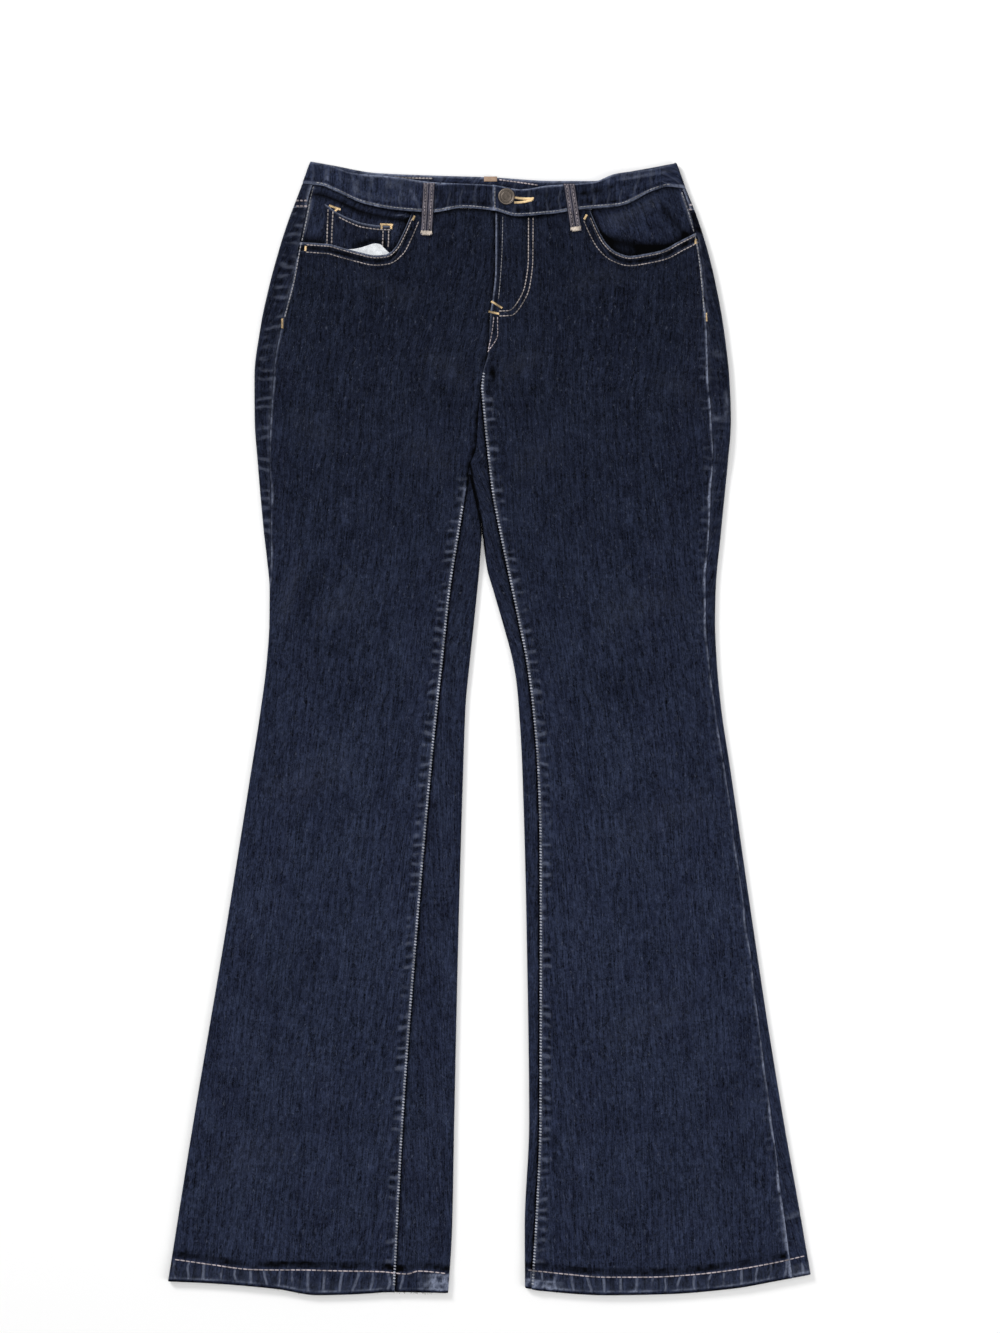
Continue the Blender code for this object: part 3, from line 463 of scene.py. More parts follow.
class Drift:
    """Smooth, seeded unevenness over the plane, from a few waves in all directions."""

    WAVES = 9

    def __init__(self, seed, length):
        chance = np.random.default_rng(seed)
        turn = chance.uniform(0, math.tau, self.WAVES)
        size = math.tau / (length * chance.uniform(0.7, 1.6, self.WAVES))
        self.kx = np.cos(turn) * size
        self.ky = np.sin(turn) * size
        self.phase = chance.uniform(0, math.tau, self.WAVES)

    def __call__(self, x, y):
        total = 0.0
        for kx, ky, phase in zip(self.kx, self.ky, self.phase):
            total += np.sin(kx * x + ky * y + phase)
        return total / math.sqrt(self.WAVES)


wide_drift = Drift(31, 130.0)
close_drift = Drift(32, 34.0)
fine_drift = Drift(33, 9.0)
patch_drift = Drift(34, 48.0)


def creases(table, x, y):
    """Height of the pressed creases at a point."""
    total = np.zeros(np.broadcast(x, y).shape)
    for x0, y0, x1, y1, half_width, height, bow in table:
        dx, dy = x1 - x0, y1 - y0
        length = math.hypot(dx, dy)
        t = ((x - x0) * dx + (y - y0) * dy) / length ** 2
        arch = np.clip(4 * t * (1 - t), 0.0, 1.0)
        off = ((x - x0) * dy - (y - y0) * dx) / length - bow * arch
        total += height * np.sqrt(arch) * bell(off, half_width)
    return total


def edge_drop(distance):
    """How far cloth rounds down at a folded or sewn edge."""
    return -0.42 * np.exp(-np.maximum(distance, 0.0) / 0.75)


def seam_side(puckers, y, distance, ridge, pull):
    """Relief of cloth beside a seam: its pressed allowance, and puckers across it."""
    bumps = puckers(y, distance)
    allowance = ridge * plateau(distance, 0.6, 9.5, 1.6)
    near = ease(distance, 0.4, 1.8) * (1 - ease(distance, 8.0, 13.0))
    return allowance + near * pull * (bumps - 0.35)


def hem_relief(half, x, y):
    """Relief of the turned-up hem: ropy ridges under its stitches and a trough above them."""
    above = y - half.hem_stitch(x)
    in_hem = y - half.hem(x)
    ropes = HEM_PUCKERS[half.side](x, 0 * y)
    total = 0.45 * ropes * plateau(in_hem, 2.0, 12.0, 2.5)
    total = total - 0.22 * bell(above, 1.2) + 0.20 * bell(above - 1.8, 1.0)
    return total - 0.50 * bell(above - 5.0, 2.4)


def front_relief(half, x, y, from_outseam=None):
    """Relief on a front panel, as a height over the flat tube."""
    settings = bpy.context.scene.jeans_cloth
    pull = settings.pucker_height / MM
    ridge = settings.seam_ridge / MM
    if from_outseam is None:
        from_outseam = half.along(False, x, y) - half.outseam(y)
    from_inner = np.abs(x - half.front_edge(y))
    from_top = panel_top(half, x) - y
    sewn = half.sewn(y)
    below_fly = 1 - ease(y, 316.0, 336.0)
    total = creases(FRONT_CREASES, x, y)
    total = total + 0.16 * wide_drift(x, y) + 0.05 * close_drift(x, y)
    total += sewn * seam_side(INSEAM_PUCKERS[half.side], y, from_inner, ridge, pull)
    side_pull = pull * (0.45 + 0.35 * ease(np.abs(y - 300), 100, 160))
    total += seam_side(OUTSEAM_PUCKERS[half.side], y, from_outseam, 0.25 * ridge, side_pull)
    total = total + edge_drop(from_inner) * below_fly + edge_drop(from_outseam)
    total += hem_relief(half, x, y)
    at_pocket = beside_opening(half, x)
    wave = FRONT_POCKET_PUCKERS[half.side](x, 4.0 + 0 * y)
    total += at_pocket * (0.30 + 0.22 * wave) * plateau(from_top, 0.5, 9.0, 1.4)
    total = total + at_pocket * edge_drop(from_top) - 0.18 * bell(from_top - 9.5, 1.2)
    if half.side > 0:
        total -= 0.9 * crotch_hollow(x, y)
        fly = 0.30 * (1 - ease(x, 37.0, 41.0)) * ease(y, 386.0, 392.0)
        total = total + fly + edge_drop(from_inner) * (1 - below_fly)
    return total


CROTCH_HOLLOW = (2.6, 332.0, 3.8, 7.5)      # x, y, half width and half height


def crotch_hollow(x, y):
    """The small deep dent where the rise meets the inseam."""
    middle_x, middle_y, width, height = CROTCH_HOLLOW
    return np.exp(-(((x - middle_x) / width) ** 2 + ((y - middle_y) / height) ** 2))


def strip_relief(half, x, y):
    """Relief on the part of a back panel that shows on top beside the inseam."""
    settings = bpy.context.scene.jeans_cloth
    pull = settings.pucker_height / MM
    distance = np.abs(x - half.front_edge(y))
    total = 0.3 * pull * STRIP_PUCKERS[half.side](y, distance) * ease(distance, 1.0, 3.0)
    total = total - 0.45 * bell(distance, 2.0) + 0.06 * close_drift(x, y)
    return total + hem_relief(half, x, y) + creases(SIDE_CREASES, x, y)


def under_relief(x, y):
    """How far the underside is pressed up off the surface it lies on."""
    return UNDER_CLEAR + np.maximum(creases(BACK_CREASES, x, y), 0.0)


def lap_rise(x):
    return LAP_RISE * (1 - ease(x, *OVERLAP_RAMP))


def band_relief(x, y, low, high, seed=0.0):
    """Relief on the waistband between its foot and its folded top."""
    settings = bpy.context.scene.jeans_cloth
    pull = settings.pucker_height / MM
    width = high - low
    share = (y - low) / width
    bumps = BAND_PUCKERS(x + seed, 12.0 * np.abs(share - 0.1))
    quilt = plateau(share, 0.16, 0.84, 0.10)
    total = pull * 0.8 * (bumps - 0.3) * quilt + 0.10 * close_drift(x * 1.6, y) * quilt
    total = total + 0.28 * quilt + edge_drop(y - low) + edge_drop(high - y) * 1.6
    return total + creases(BAND_CREASES, x, y) * quilt


# ---------------- mesh makers

def run_across(points):
    """How far along each row of the grid every point is, seen from the end of the legs."""
    step = np.diff(points, axis=1, prepend=points[:, :1])
    return np.cumsum(np.hypot(step[..., 0], step[..., 2]), axis=1)


def new_object(name, data):
    thing = bpy.data.objects.new(name, data)
    bpy.context.scene.collection.objects.link(thing)
    return thing


def grid_mesh(name, outer, inner, marks, material, mask=None, across=None):
    """A closed wall from two grids of points in millimetres, with cloth coordinates.

    marks are values at the points for the material, such as how rubbed the cloth is.
    mask says which cells exist, across gives each point's distance across the cloth.
    """
    rows, columns = outer.shape[:2]
    if mask is None:
        mask = np.ones((rows - 1, columns - 1), bool)
    index = np.arange(rows * columns).reshape(rows, columns)
    corners = np.stack([index[:-1, :-1], index[:-1, 1:], index[1:, 1:], index[1:, :-1]], -1)[mask]
    count = rows * columns
    edges = np.concatenate([corners[:, [k, (k + 1) % 4]] for k in range(4)])
    key = edges[:, 0] * count + edges[:, 1]
    back = edges[:, 1] * count + edges[:, 0]
    rim = edges[~np.isin(key, back)]
    walls = np.stack([rim[:, 1], rim[:, 0], rim[:, 0] + count, rim[:, 1] + count], -1)
    faces = np.concatenate([corners, corners[:, ::-1] + count, walls])
    points = np.concatenate([outer.reshape(-1, 3), inner.reshape(-1, 3)])
    a, b, c, d = (points[faces[:, k]] for k in range(4))
    volume = np.einsum("ij,ij->i", a, np.cross(b, c)) + np.einsum("ij,ij->i", a, np.cross(c, d))
    if volume.sum() < 0:
        faces = faces[:, ::-1]
    used = np.unique(faces)
    place = np.zeros(len(points), int)
    place[used] = np.arange(len(used))
    faces = place[faces]
    mesh = bpy.data.meshes.new(name)
    mesh.vertices.add(len(used))
    mesh.vertices.foreach_set("co", (points[used] * MM).ravel())
    mesh.loops.add(faces.size)
    mesh.loops.foreach_set("vertex_index", faces.ravel())
    mesh.polygons.add(len(faces))
    mesh.polygons.foreach_set("loop_start", np.arange(0, faces.size, 4))
    mesh.polygons.foreach_set("loop_total", np.full(len(faces), 4))
    mesh.update(calc_edges=True)
    mesh.shade_smooth()
    mesh.set_sharp_from_angle(angle=math.radians(55))
    if across is None:
        across = run_across(outer)
    flat = np.stack([across.ravel(), outer[..., 1].ravel()], -1)
    flat = np.concatenate([flat, flat])[used] * MM
    layer = mesh.uv_layers.new(name="cloth")
    layer.data.foreach_set("uv", flat[faces.ravel()].ravel())
    for key, values in marks.items():
        spread = np.broadcast_to(values, (rows, columns)).ravel()
        attribute = mesh.attributes.new(key, "FLOAT", "POINT")
        attribute.data.foreach_set("value", np.concatenate([spread, spread])[used])
    mesh.materials.append(material)
    return new_object(name, mesh)


def cut_area(outer, mask=None):
    """Flat area and greatest width and length of a piece in metres, from its unwrapped grid."""
    step = np.diff(outer, axis=1)
    across = np.hypot(step[..., 0], step[..., 2])
    rise = np.abs(np.diff(outer[..., 1], axis=0))
    cells = 0.25 * (across[:-1] + across[1:]) * (rise[:, :-1] + rise[:, 1:])
    if mask is None:
        mask = np.ones(cells.shape, bool)
    rows_used = np.concatenate([mask, mask[-1:]]) & np.concatenate([mask[:1], mask])
    width = (across * rows_used).sum(axis=1).max()
    corner = np.zeros(outer.shape[:2], bool)
    corner[:-1, :-1] |= mask
    corner[1:, 1:] |= mask
    ys = outer[..., 1][corner]
    length = ys.max() - ys.min()
    return cells[mask].sum() * MM * MM, width * MM, length * MM


SHORTEST_CUT = 0.0126     # the tab is cut double and folded


def lay_cloth(name, part, faces, marks, material, mask=None, across=None):
    thing = grid_mesh(name, *faces, marks, material, mask, across)
    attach(thing, "root")
    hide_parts(part)
    area, width, length = cut_area(faces[0], mask)
    width = rounded_up(max(width, area / length))
    length = rounded_up(max(length, SHORTEST_CUT))


def rounded_up(metres):
    """To the next tenth of a millimetre."""
    return math.ceil(metres * 10000) / 10000


def stack(x, y, z):
    return np.stack(np.broadcast_arrays(x, y, z), -1).astype(float)


def unit(vectors):
    return vectors / np.linalg.norm(vectors, axis=1, keepdims=True)


def square_to(directions, ups):
    """The ups turned square to their directions."""
    return unit(ups - directions * (ups * directions).sum(axis=1, keepdims=True))


EDGE_STEPS = np.array([0, 0.8, 1.6, 2.6, 4.0, 5.5, 7.0, 9.0, 11.0, 13.0, 15.5, 18.0, 21.0])
SEAM_STEPS = np.array([0, 0.8, 1.6, 2.5, 3.5, 4.5, 5.5, 6.5, 7.5, 8.5, 9.5, 10.5, 11.5, 12.5,
                       13.5, 15.0, 17.0, 19.5, 22.0, 25.0])
ARC_STEPS = np.linspace(1.0, -1.0, 9)
HEM_STEPS = np.concatenate([np.arange(0, 4.8, 0.8), np.arange(4.8, 28, 1.5)])
FRONT_ROW_STEP = 2.1
BACK_ROW_STEP = 3.0
MIDDLE_STEP = 4.2
UNDER_STEP = 6.5
LEG_LENGTH = 710.0        # from the fork down to a hem
FRONT_TOP_LENGTH = 285.0  # from the fork up to the top edge of a panel
BACK_TOP_LENGTH = 270.0


def leg_rows(top_length, step):
    """Shares of the way from the hem to the fork, and from the fork to the top edge."""
    hem_end = HEM_STEPS[-1] + step
    count = int((LEG_LENGTH - hem_end) / step)
    low = np.concatenate([HEM_STEPS, np.linspace(hem_end, LEG_LENGTH, count)]) / LEG_LENGTH
    near = 1 - EDGE_STEPS[::-1] / top_length
    high = np.concatenate([np.linspace(0, near[0], int(top_length / step))[1:-1], near])
    return low, high


def wall_depths(low, high):
    """Thickness of the cloth row by row: three layers in the hem, one above it."""
    rise = low * LEG_LENGTH
    depth = np.where(rise <= HEM_DEPTH, HEM_CLOTH, CLOTH)
    return np.concatenate([depth, np.full(len(high), CLOTH)])[:, None]


def settle(place, rows_y, x):
    """Finds each row's y, which depends on x, while x depends on y."""
    for _ in range(5):
        x = place(rows_y(x))
    return rows_y(x)


# ---------------- materials

DEEPER_FROM_TO = (-0.20, 0.48)      # metres up the jeans
SEAM_GATHERS = (33.0, 4.6, 1.1)     # scale, distortion and its scale: one in about 9 mm
HEM_GATHERS = (22.0, 4.0, 1.2)      # one in about 14 mm
DYE_CLOUDS = (                      # scale, seed, darkest and lightest
    ((30.0, 15.0), 7.0, 0.88, 1.12),
    ((125.0, 78.0), 41.0, 0.80, 1.2),
)
TWILL_SLANT = 62.0                  # degrees
WHITE = (1.0, 1.0, 1.0)


class Field:
    """What one output of a node gives at each point, so that formulas read as formulas."""

    def __init__(self, tree, output):
        self.tree = tree
        self.output = output

    def math(self, operation, other, clamp=False):
        return field(self.tree, "ShaderNodeMath", 0, {0: self, 1: other}, operation=operation,
                     use_clamp=clamp)

    def __add__(self, other):
        return self.math("ADD", other)

    def __mul__(self, other):
        return self.math("MULTIPLY", other)

    def ramp(self, low, high):
        """Spreads the value from low..high to 0..1."""
        return field(self.tree, "ShaderNodeMapRange", "Result",
                     {"Value": self, "From Min": low, "From Max": high},
                     interpolation_type="SMOOTHSTEP")


def feed(value, socket):
    """Puts a field, a colour or a number into a socket."""
    if isinstance(value, Field):
        value.tree.links.new(value.output, socket)
    elif socket.type == "RGBA":
        socket.default_value = (*value, 1.0)
    else:
        socket.default_value = value


def field(tree, kind, output=0, inputs=None, **properties):
    """One output of a new node with these properties and inputs."""
    made = tree.nodes.new(kind)
    for name, value in properties.items():
        setattr(made, name, value)
    for name, value in (inputs or {}).items():
        feed(value, made.inputs[name])
    return Field(tree, made.outputs[output])


def mix_colour(share, first, second, blend="MIX"):
    tree = next(value.tree for value in (share, first) if isinstance(value, Field))
    return field(tree, "ShaderNodeMix", 2, {0: share, 6: first, 7: second}, data_type="RGBA",
                 blend_type=blend)


def scaled(colour, share):
    """A colour made lighter or deeper."""
    return tuple(min(channel * share, 1.0) for channel in colour)


def object_place(tree):
    return field(tree, "ShaderNodeTexCoord", "Object")


def cloth_noise(place, scale, detail=3.0, roughness=0.55, seed=0.0, curl=0.0):
    """Noise over the cloth, with its own scale across and up, in cells for each metre."""
    mapped = field(place.tree, "ShaderNodeMapping", 0,
                   {"Scale": (*scale, 1.0), "Location": (seed, seed * 0.7, 0.0), "Vector": place})
    return field(place.tree, "ShaderNodeTexNoise", "Fac",
                 {"Scale": 1.0, "Detail": detail, "Roughness": roughness, "Distortion": curl,
                  "Vector": mapped}, noise_dimensions="2D")


def solid_noise(place, scale, detail=2.0):
    return field(place.tree, "ShaderNodeTexNoise", "Fac",
                 {"Scale": scale, "Detail": detail, "Vector": place})


def bands(place, direction, scale, distortion=0.0, detail_scale=1.0):
    return field(place.tree, "ShaderNodeTexWave", "Fac",
                 {"Scale": scale, "Distortion": distortion, "Detail Scale": detail_scale,
                  "Vector": place}, wave_type="BANDS", bands_direction=direction)


def raised(shader, height, strength, distance, **under):
    """Gives the surface a bump, on top of another one if a Normal is given."""
    bump = field(height.tree, "ShaderNodeBump", 0,
                 {"Strength": strength, "Distance": distance, "Height": height, **under})
    feed(bump, shader.inputs["Normal"])
    return bump


def new_material(name, roughness, specular):
    material = bpy.data.materials.new(name)
    material.use_nodes = True
    shader = material.node_tree.nodes["Principled BSDF"]
    feed(roughness, shader.inputs["Roughness"])
    feed(specular, shader.inputs["Specular IOR Level"])
    return material, material.node_tree, shader


def once(make):
    """Makes a material the first time that its name is asked for."""
    def find_or_make(name, *rest):
        return bpy.data.materials.get(name) or make(name, *rest)
    return find_or_make


def mark(tree, key):
    """A value that the mesh carries at its points."""
    return field(tree, "ShaderNodeAttribute", "Fac", attribute_type="GEOMETRY",
                 attribute_name=key)


@once
def denim(name, depth, deeper_above=1.0, tint=WHITE):
    """Dark indigo denim: twill, upright slubs, uneven dye, rubbed places, and painted shade towards
    deep indigo.

    deeper_above is the share of colour left at the hips, where the cloth has faded less.
    """
    settings = bpy.context.scene.jeans_cloth
    indigo = [channel * share * depth for channel, share in zip(settings.indigo, tint)]
    faded = tuple(channel * share for channel, share in zip(settings.faded, tint))
    dark = scaled(indigo, 0.05)
    light = scaled(indigo, 2.72)
    material, tree, shader = new_material(name, 0.9, 0.04)
    place = field(tree, "ShaderNodeUVMap", uv_map="cloth")
    slub = cloth_noise(place, (800.0, 74.0), 4.0, 0.62, 0.0, 0.25)
    streak = cloth_noise(place, (310.0, 16.0), 3.0, 0.55, 3.0)
    grain = cloth_noise(place, (470.0, 330.0), 4.0, 0.75, 5.0, 0.9)
    tone = (slub.ramp(0.34, 0.68) * 0.36 + streak.ramp(0.34, 0.68) * 0.22
            + grain.ramp(0.37, 0.63) * 0.42)
    colour = mix_colour(tone, dark, light)
    for scale, seed, low, high in DYE_CLOUDS:
        cloud = cloth_noise(place, scale, 4.0, 0.6, seed, 0.6).ramp(0.3, 0.7)
        clouded = mix_colour(cloud, (low, low, low + 0.02), (high, high, high - 0.03))
        colour = mix_colour(1.0, colour, clouded, "MULTIPLY")
    upward = field(tree, "ShaderNodeSeparateXYZ", "Y", {0: place}).ramp(*DEEPER_FROM_TO)
    shaded = mix_colour(upward, WHITE, (deeper_above,) * 3)
    colour = mix_colour(1.0, colour, shaded, "MULTIPLY")
    fleck = cloth_noise(place, (620.0, 210.0), 4.0, 0.75, 11.0, 0.8)
    colour = mix_colour(fleck.ramp(0.58, 0.80) * 0.26, colour, faded)

    # Gathers: uneven bands across the seams and up the hems, stronger in some places
    patchy = cloth_noise(place, (52.0, 70.0), 2.0, 0.5, 23.0)
    rubbed = cloth_noise(place, (520.0, 340.0), 4.0, 0.7, 17.0).ramp(0.22, 0.56)
    seam_bars = mark(tree, "seam_bars") * patchy.ramp(0.36, 0.62)
    hem_bars = mark(tree, "hem_bars") * patchy.ramp(0.28, 0.56)
    across_seam = bands(place, "Y", *SEAM_GATHERS)
    up_hem = bands(place, "X", *HEM_GATHERS)
    # Ridges of the gathers: rubbed pale, partly painted highlight
    seam_ridge = seam_bars * across_seam.ramp(0.50, 1.0)
    hem_ridge = hem_bars * up_hem.ramp(0.86, 1.0)
    # Hollows of the gathers: painted shade
    seam_hollow = seam_bars * across_seam.ramp(0.40, 0.0)
    hem_hollow = hem_bars * up_hem.ramp(0.50, 0.0)
    worn_and_shaded = mark(tree, "wear")
    # Painted shade: marks below zero, and the gathers' hollows, darken the colour towards deep
    # indigo
    painted_shade_and_deep_dye = worn_and_shaded.math("MULTIPLY", -1.0, clamp=True)
    hollows = seam_hollow * 0.62 + hem_hollow * 0.35
    painted_shade_and_deep_dye = painted_shade_and_deep_dye.math("ADD", hollows, clamp=True)
    colour = mix_colour(painted_shade_and_deep_dye, colour, scaled(dark, 0.5))
    # Marks above zero, and the gathers' ridges, fade the colour: rubbing, on crease ridges partly
    # painted highlight
    broken = worn_and_shaded.math("MULTIPLY", rubbed, clamp=True)
    ridges = seam_ridge * 0.24 + hem_ridge * 0.42
    gritty = ridges * (rubbed * 0.7 + 0.4)
    colour = mix_colour(broken.math("ADD", gritty, clamp=True), colour, faded)
    feed(colour, shader.inputs["Base Color"])
    feed(tone * -0.10 + 0.92, shader.inputs["Roughness"])
    folds = raised(shader, ridges.math("SUBTRACT", hollows * 0.5), 0.7, 0.0025)
    slant = field(tree, "ShaderNodeMapping", 0,
                  {"Rotation": (0.0, 0.0, math.radians(TWILL_SLANT)), "Vector": place})
    twill = bands(slant, "X", 300.0, 1.2)
    raised(shader, twill * 0.35 + slub * 0.65, 0.45, 0.0004, Normal=folds)
    return material


def body_denim():
    return denim("dark_indigo_denim", 0.80, 0.515)


def band_denim():
    return denim("waistband_denim", 0.80)


def loop_denim():
    return denim("belt_loop_denim", 0.84, 1.0, (1.36, 1.06, 0.84))


@once
def thread(name, colour):
    """Twisted sewing thread with slight changes of tone along it."""
    material, tree, shader = new_material(name, 0.62, 0.25)
    place = object_place(tree)
    uneven = solid_noise(place, 90.0, 3.0).ramp(0.3, 0.64)
    feed(mix_colour(uneven, scaled(colour, 0.38), scaled(colour, 1.25)), shader.inputs["Base Color"])
    raised(shader, bands(place, "DIAGONAL", 900.0), 0.5, 0.0001)
    return material


@once
def plain_weave(name, colour, pitch=1500.0, roughness=0.85):
    """A plain woven cotton or tape, by object coordinates."""
    material, tree, shader = new_material(name, roughness, 0.2)
    place = object_place(tree)
    cross = bands(place, "X", pitch, 0.6).math("MAXIMUM", bands(place, "Y", pitch, 0.6))
    uneven = solid_noise(place, 160.0, 4.0).ramp(0.3, 0.7)
    feed(mix_colour(uneven, scaled(colour, 0.72), colour), shader.inputs["Base Color"])
    raised(shader, cross, 0.4, 0.00015)
    return material


@once
def bronze(name, colour):
    """Dull bronze, mottled darker in places, with bright rubbed rims."""
    material, tree, shader = new_material(name, 0.4, 0.5)
    feed(1.0, shader.inputs["Metallic"])
    cast = solid_noise(object_place(tree), 700.0, 5.0)
    base = mix_colour(cast.ramp(0.35, 0.7), scaled(colour, 0.7), colour)
    bright = scaled(colour, 1.45)
    feed(mix_colour(mark(tree, "wear"), base, bright), shader.inputs["Base Color"])
    feed(cast * 0.3 + 0.36, shader.inputs["Roughness"])
    raised(shader, cast, 0.3, 0.0001)
    return material


# ---------------- stitches

def resample(points, normals, pitch):
    """Even steps along a path: centres, directions and normals."""
    points = np.asarray(points, float)
    lengths = np.linalg.norm(np.diff(points, axis=0), axis=1)
    run = np.concatenate([[0.0], np.cumsum(lengths)])
    count = max(int(run[-1] / pitch), 1)
    at = (np.arange(count) + 0.5) * run[-1] / count
    ahead = np.minimum(at + 0.4, run[-1])
    behind = np.maximum(at - 0.4, 0.0)

    def sample(where, values):
        return np.stack([np.interp(where, run, values[:, k]) for k in range(3)], -1)

    directions = unit(sample(ahead, points) - sample(behind, points))
    ups = square_to(directions, sample(at, np.asarray(normals, float)))
    return sample(at, points), directions, ups


class Thread:
    """Gathers stitches of one colour and makes them one mesh."""

    SIDES = 6
    # share of the stitch's length, share of its radius, height above the cloth in mm
    RINGS = ((-0.42, 0.9, 0.10), (0.0, 1.1, 0.20), (0.42, 0.9, 0.10))

    def __init__(self):
        self.points = []
        self.faces = []
        self.count = 0
        self.chance = np.random.default_rng(77)

    def add(self, centres, directions, ups, length, radius, lift=0.0):
        """One short arched strand at each centre."""
        n = len(centres)
        if n == 0:
            return
        sideways = np.cross(ups, directions)
        length = length * self.chance.uniform(0.9, 1.06, n)[:, None]
        radius = radius * self.chance.uniform(0.9, 1.1, n)[:, None]
        sink = np.full((n, 1), lift)
        rings = [centres - directions * length / 2 + ups * (sink - 0.12)]
        for share, swell, height in self.RINGS:
            middle = centres + directions * length * share + ups * (sink + height)
            for k in range(self.SIDES):
                turn = math.tau * k / self.SIDES
                rings.append(middle + radius * swell * (
                    ups * math.sin(turn) + sideways * math.cos(turn)))
        rings.append(centres + directions * length / 2 + ups * (sink - 0.12))
        points = np.stack(rings, axis=1)
        per = points.shape[1]
        faces = []
        sides = self.SIDES
        for k in range(sides):
            after = (k + 1) % sides
            faces.append((0, 1 + after, 1 + k, 1 + k))
            for ring in range(len(self.RINGS) - 1):
                low = 1 + ring * sides
                faces.append((low + k, low + after, low + sides + after, low + sides + k))
            low = 1 + (len(self.RINGS) - 1) * sides
            faces.append((low + k, low + after, per - 1, per - 1))
        faces = np.array(faces)
        offsets = self.count + np.arange(n)[:, None, None] * per
        self.faces.append((faces[None] + offsets).reshape(-1, 4))
        self.points.append(points.reshape(-1, 3))
        self.count += n * per

    def row(self, points, normals, pitch, length, radius, lift=0.0):
        self.add(*resample(points, normals, pitch), length, radius, lift)

    def make(self, name, material):
        points = np.concatenate(self.points) * MM
        faces = np.concatenate(self.faces)
        whole = faces[:, 2] != faces[:, 3]
        first = faces[:, 0] != faces[:, 1]
        polygons = [tuple(face) for face in faces[whole & first].tolist()]
        polygons += [tuple(face[:3]) for face in faces[~whole].tolist()]
        mesh = bpy.data.meshes.new(name)
        mesh.from_pydata(points.tolist(), [], polygons)
        mesh.shade_smooth()
        mesh.materials.append(material)
        thing = new_object(name, mesh)
        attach(thing, "root")
        return thing


def line_points(table, step=1.5):
    """A smooth line through x, y points, sampled finely."""
    table = np.asarray(table, float)
    run = np.concatenate([[0.0], np.cumsum(np.hypot(*np.diff(table, axis=0).T))])
    at = np.arange(0, run[-1] + step / 2, step)
    at[-1] = min(at[-1], run[-1])
    xs = smooth(list(zip(run, table[:, 0])))(at)
    ys = smooth(list(zip(run, table[:, 1])))(at)
    return xs, ys


def on_surface(xs, ys, surface, down=False):
    """Points and normals of a line laid on a surface z = surface(x, y)."""
    zs = surface(xs, ys)
    east = (surface(xs + 0.5, ys) - surface(xs - 0.5, ys))
    north = (surface(xs, ys + 0.5) - surface(xs, ys - 0.5))
    normals = unit(stack(-east, -north, 1.0))
    return stack(xs, ys, zs), -normals if down else normals


def level(z):
    """A flat surface at one height."""
    return lambda x, y: z + 0 * x


def panel_surface(half):
    return lambda x, y: half.underside(y) + half.height(x, y) + front_relief(half, x, y)


def strip_surface(half):
    return lambda x, y: half.underside(y) + half.height(x, y) + strip_relief(half, x, y)


def under_surface(half):
    return lambda x, y: half.underside(y) + under_relief(x, y)


def front_band_surface(side):
    def surface(x, y):
        rise = lap_rise(x) if side > 0 else 0.0
        relief = band_relief(x, y, front_band_foot(x), front_band_top(x), 0.0)
        return SEAT_LIFT + BAND_HEIGHT + rise + relief
    return surface


def back_band_under(x, y):
    relief = band_relief(x, y, back_band_foot(x), back_band_top(x), 150.0)
    return SEAT_LIFT + UNDER_CLEAR - 0.5 * np.minimum(relief, 0.4)


def facing_surface(x, y):
    foot = back_band_foot(x)
    return (SEAT_LIFT + CLOTH + LAYER + 1.2 * ease(y - foot, -5.0, -0.8)
            + 0.10 * close_drift(x, y))


def coin_surface(x, y):
    return SEAT_LIFT + CLOTH + 2 * LAYER + 0.12 * close_drift(x, y) + edge_drop(coin_top(x) - y)


# ---------------- cloth pieces

FRONT_COLUMNS = {-1: (-75.5, -160.0, -28.0), 1: (96.5, 26.0, 176.0)}   # pocket, first, last


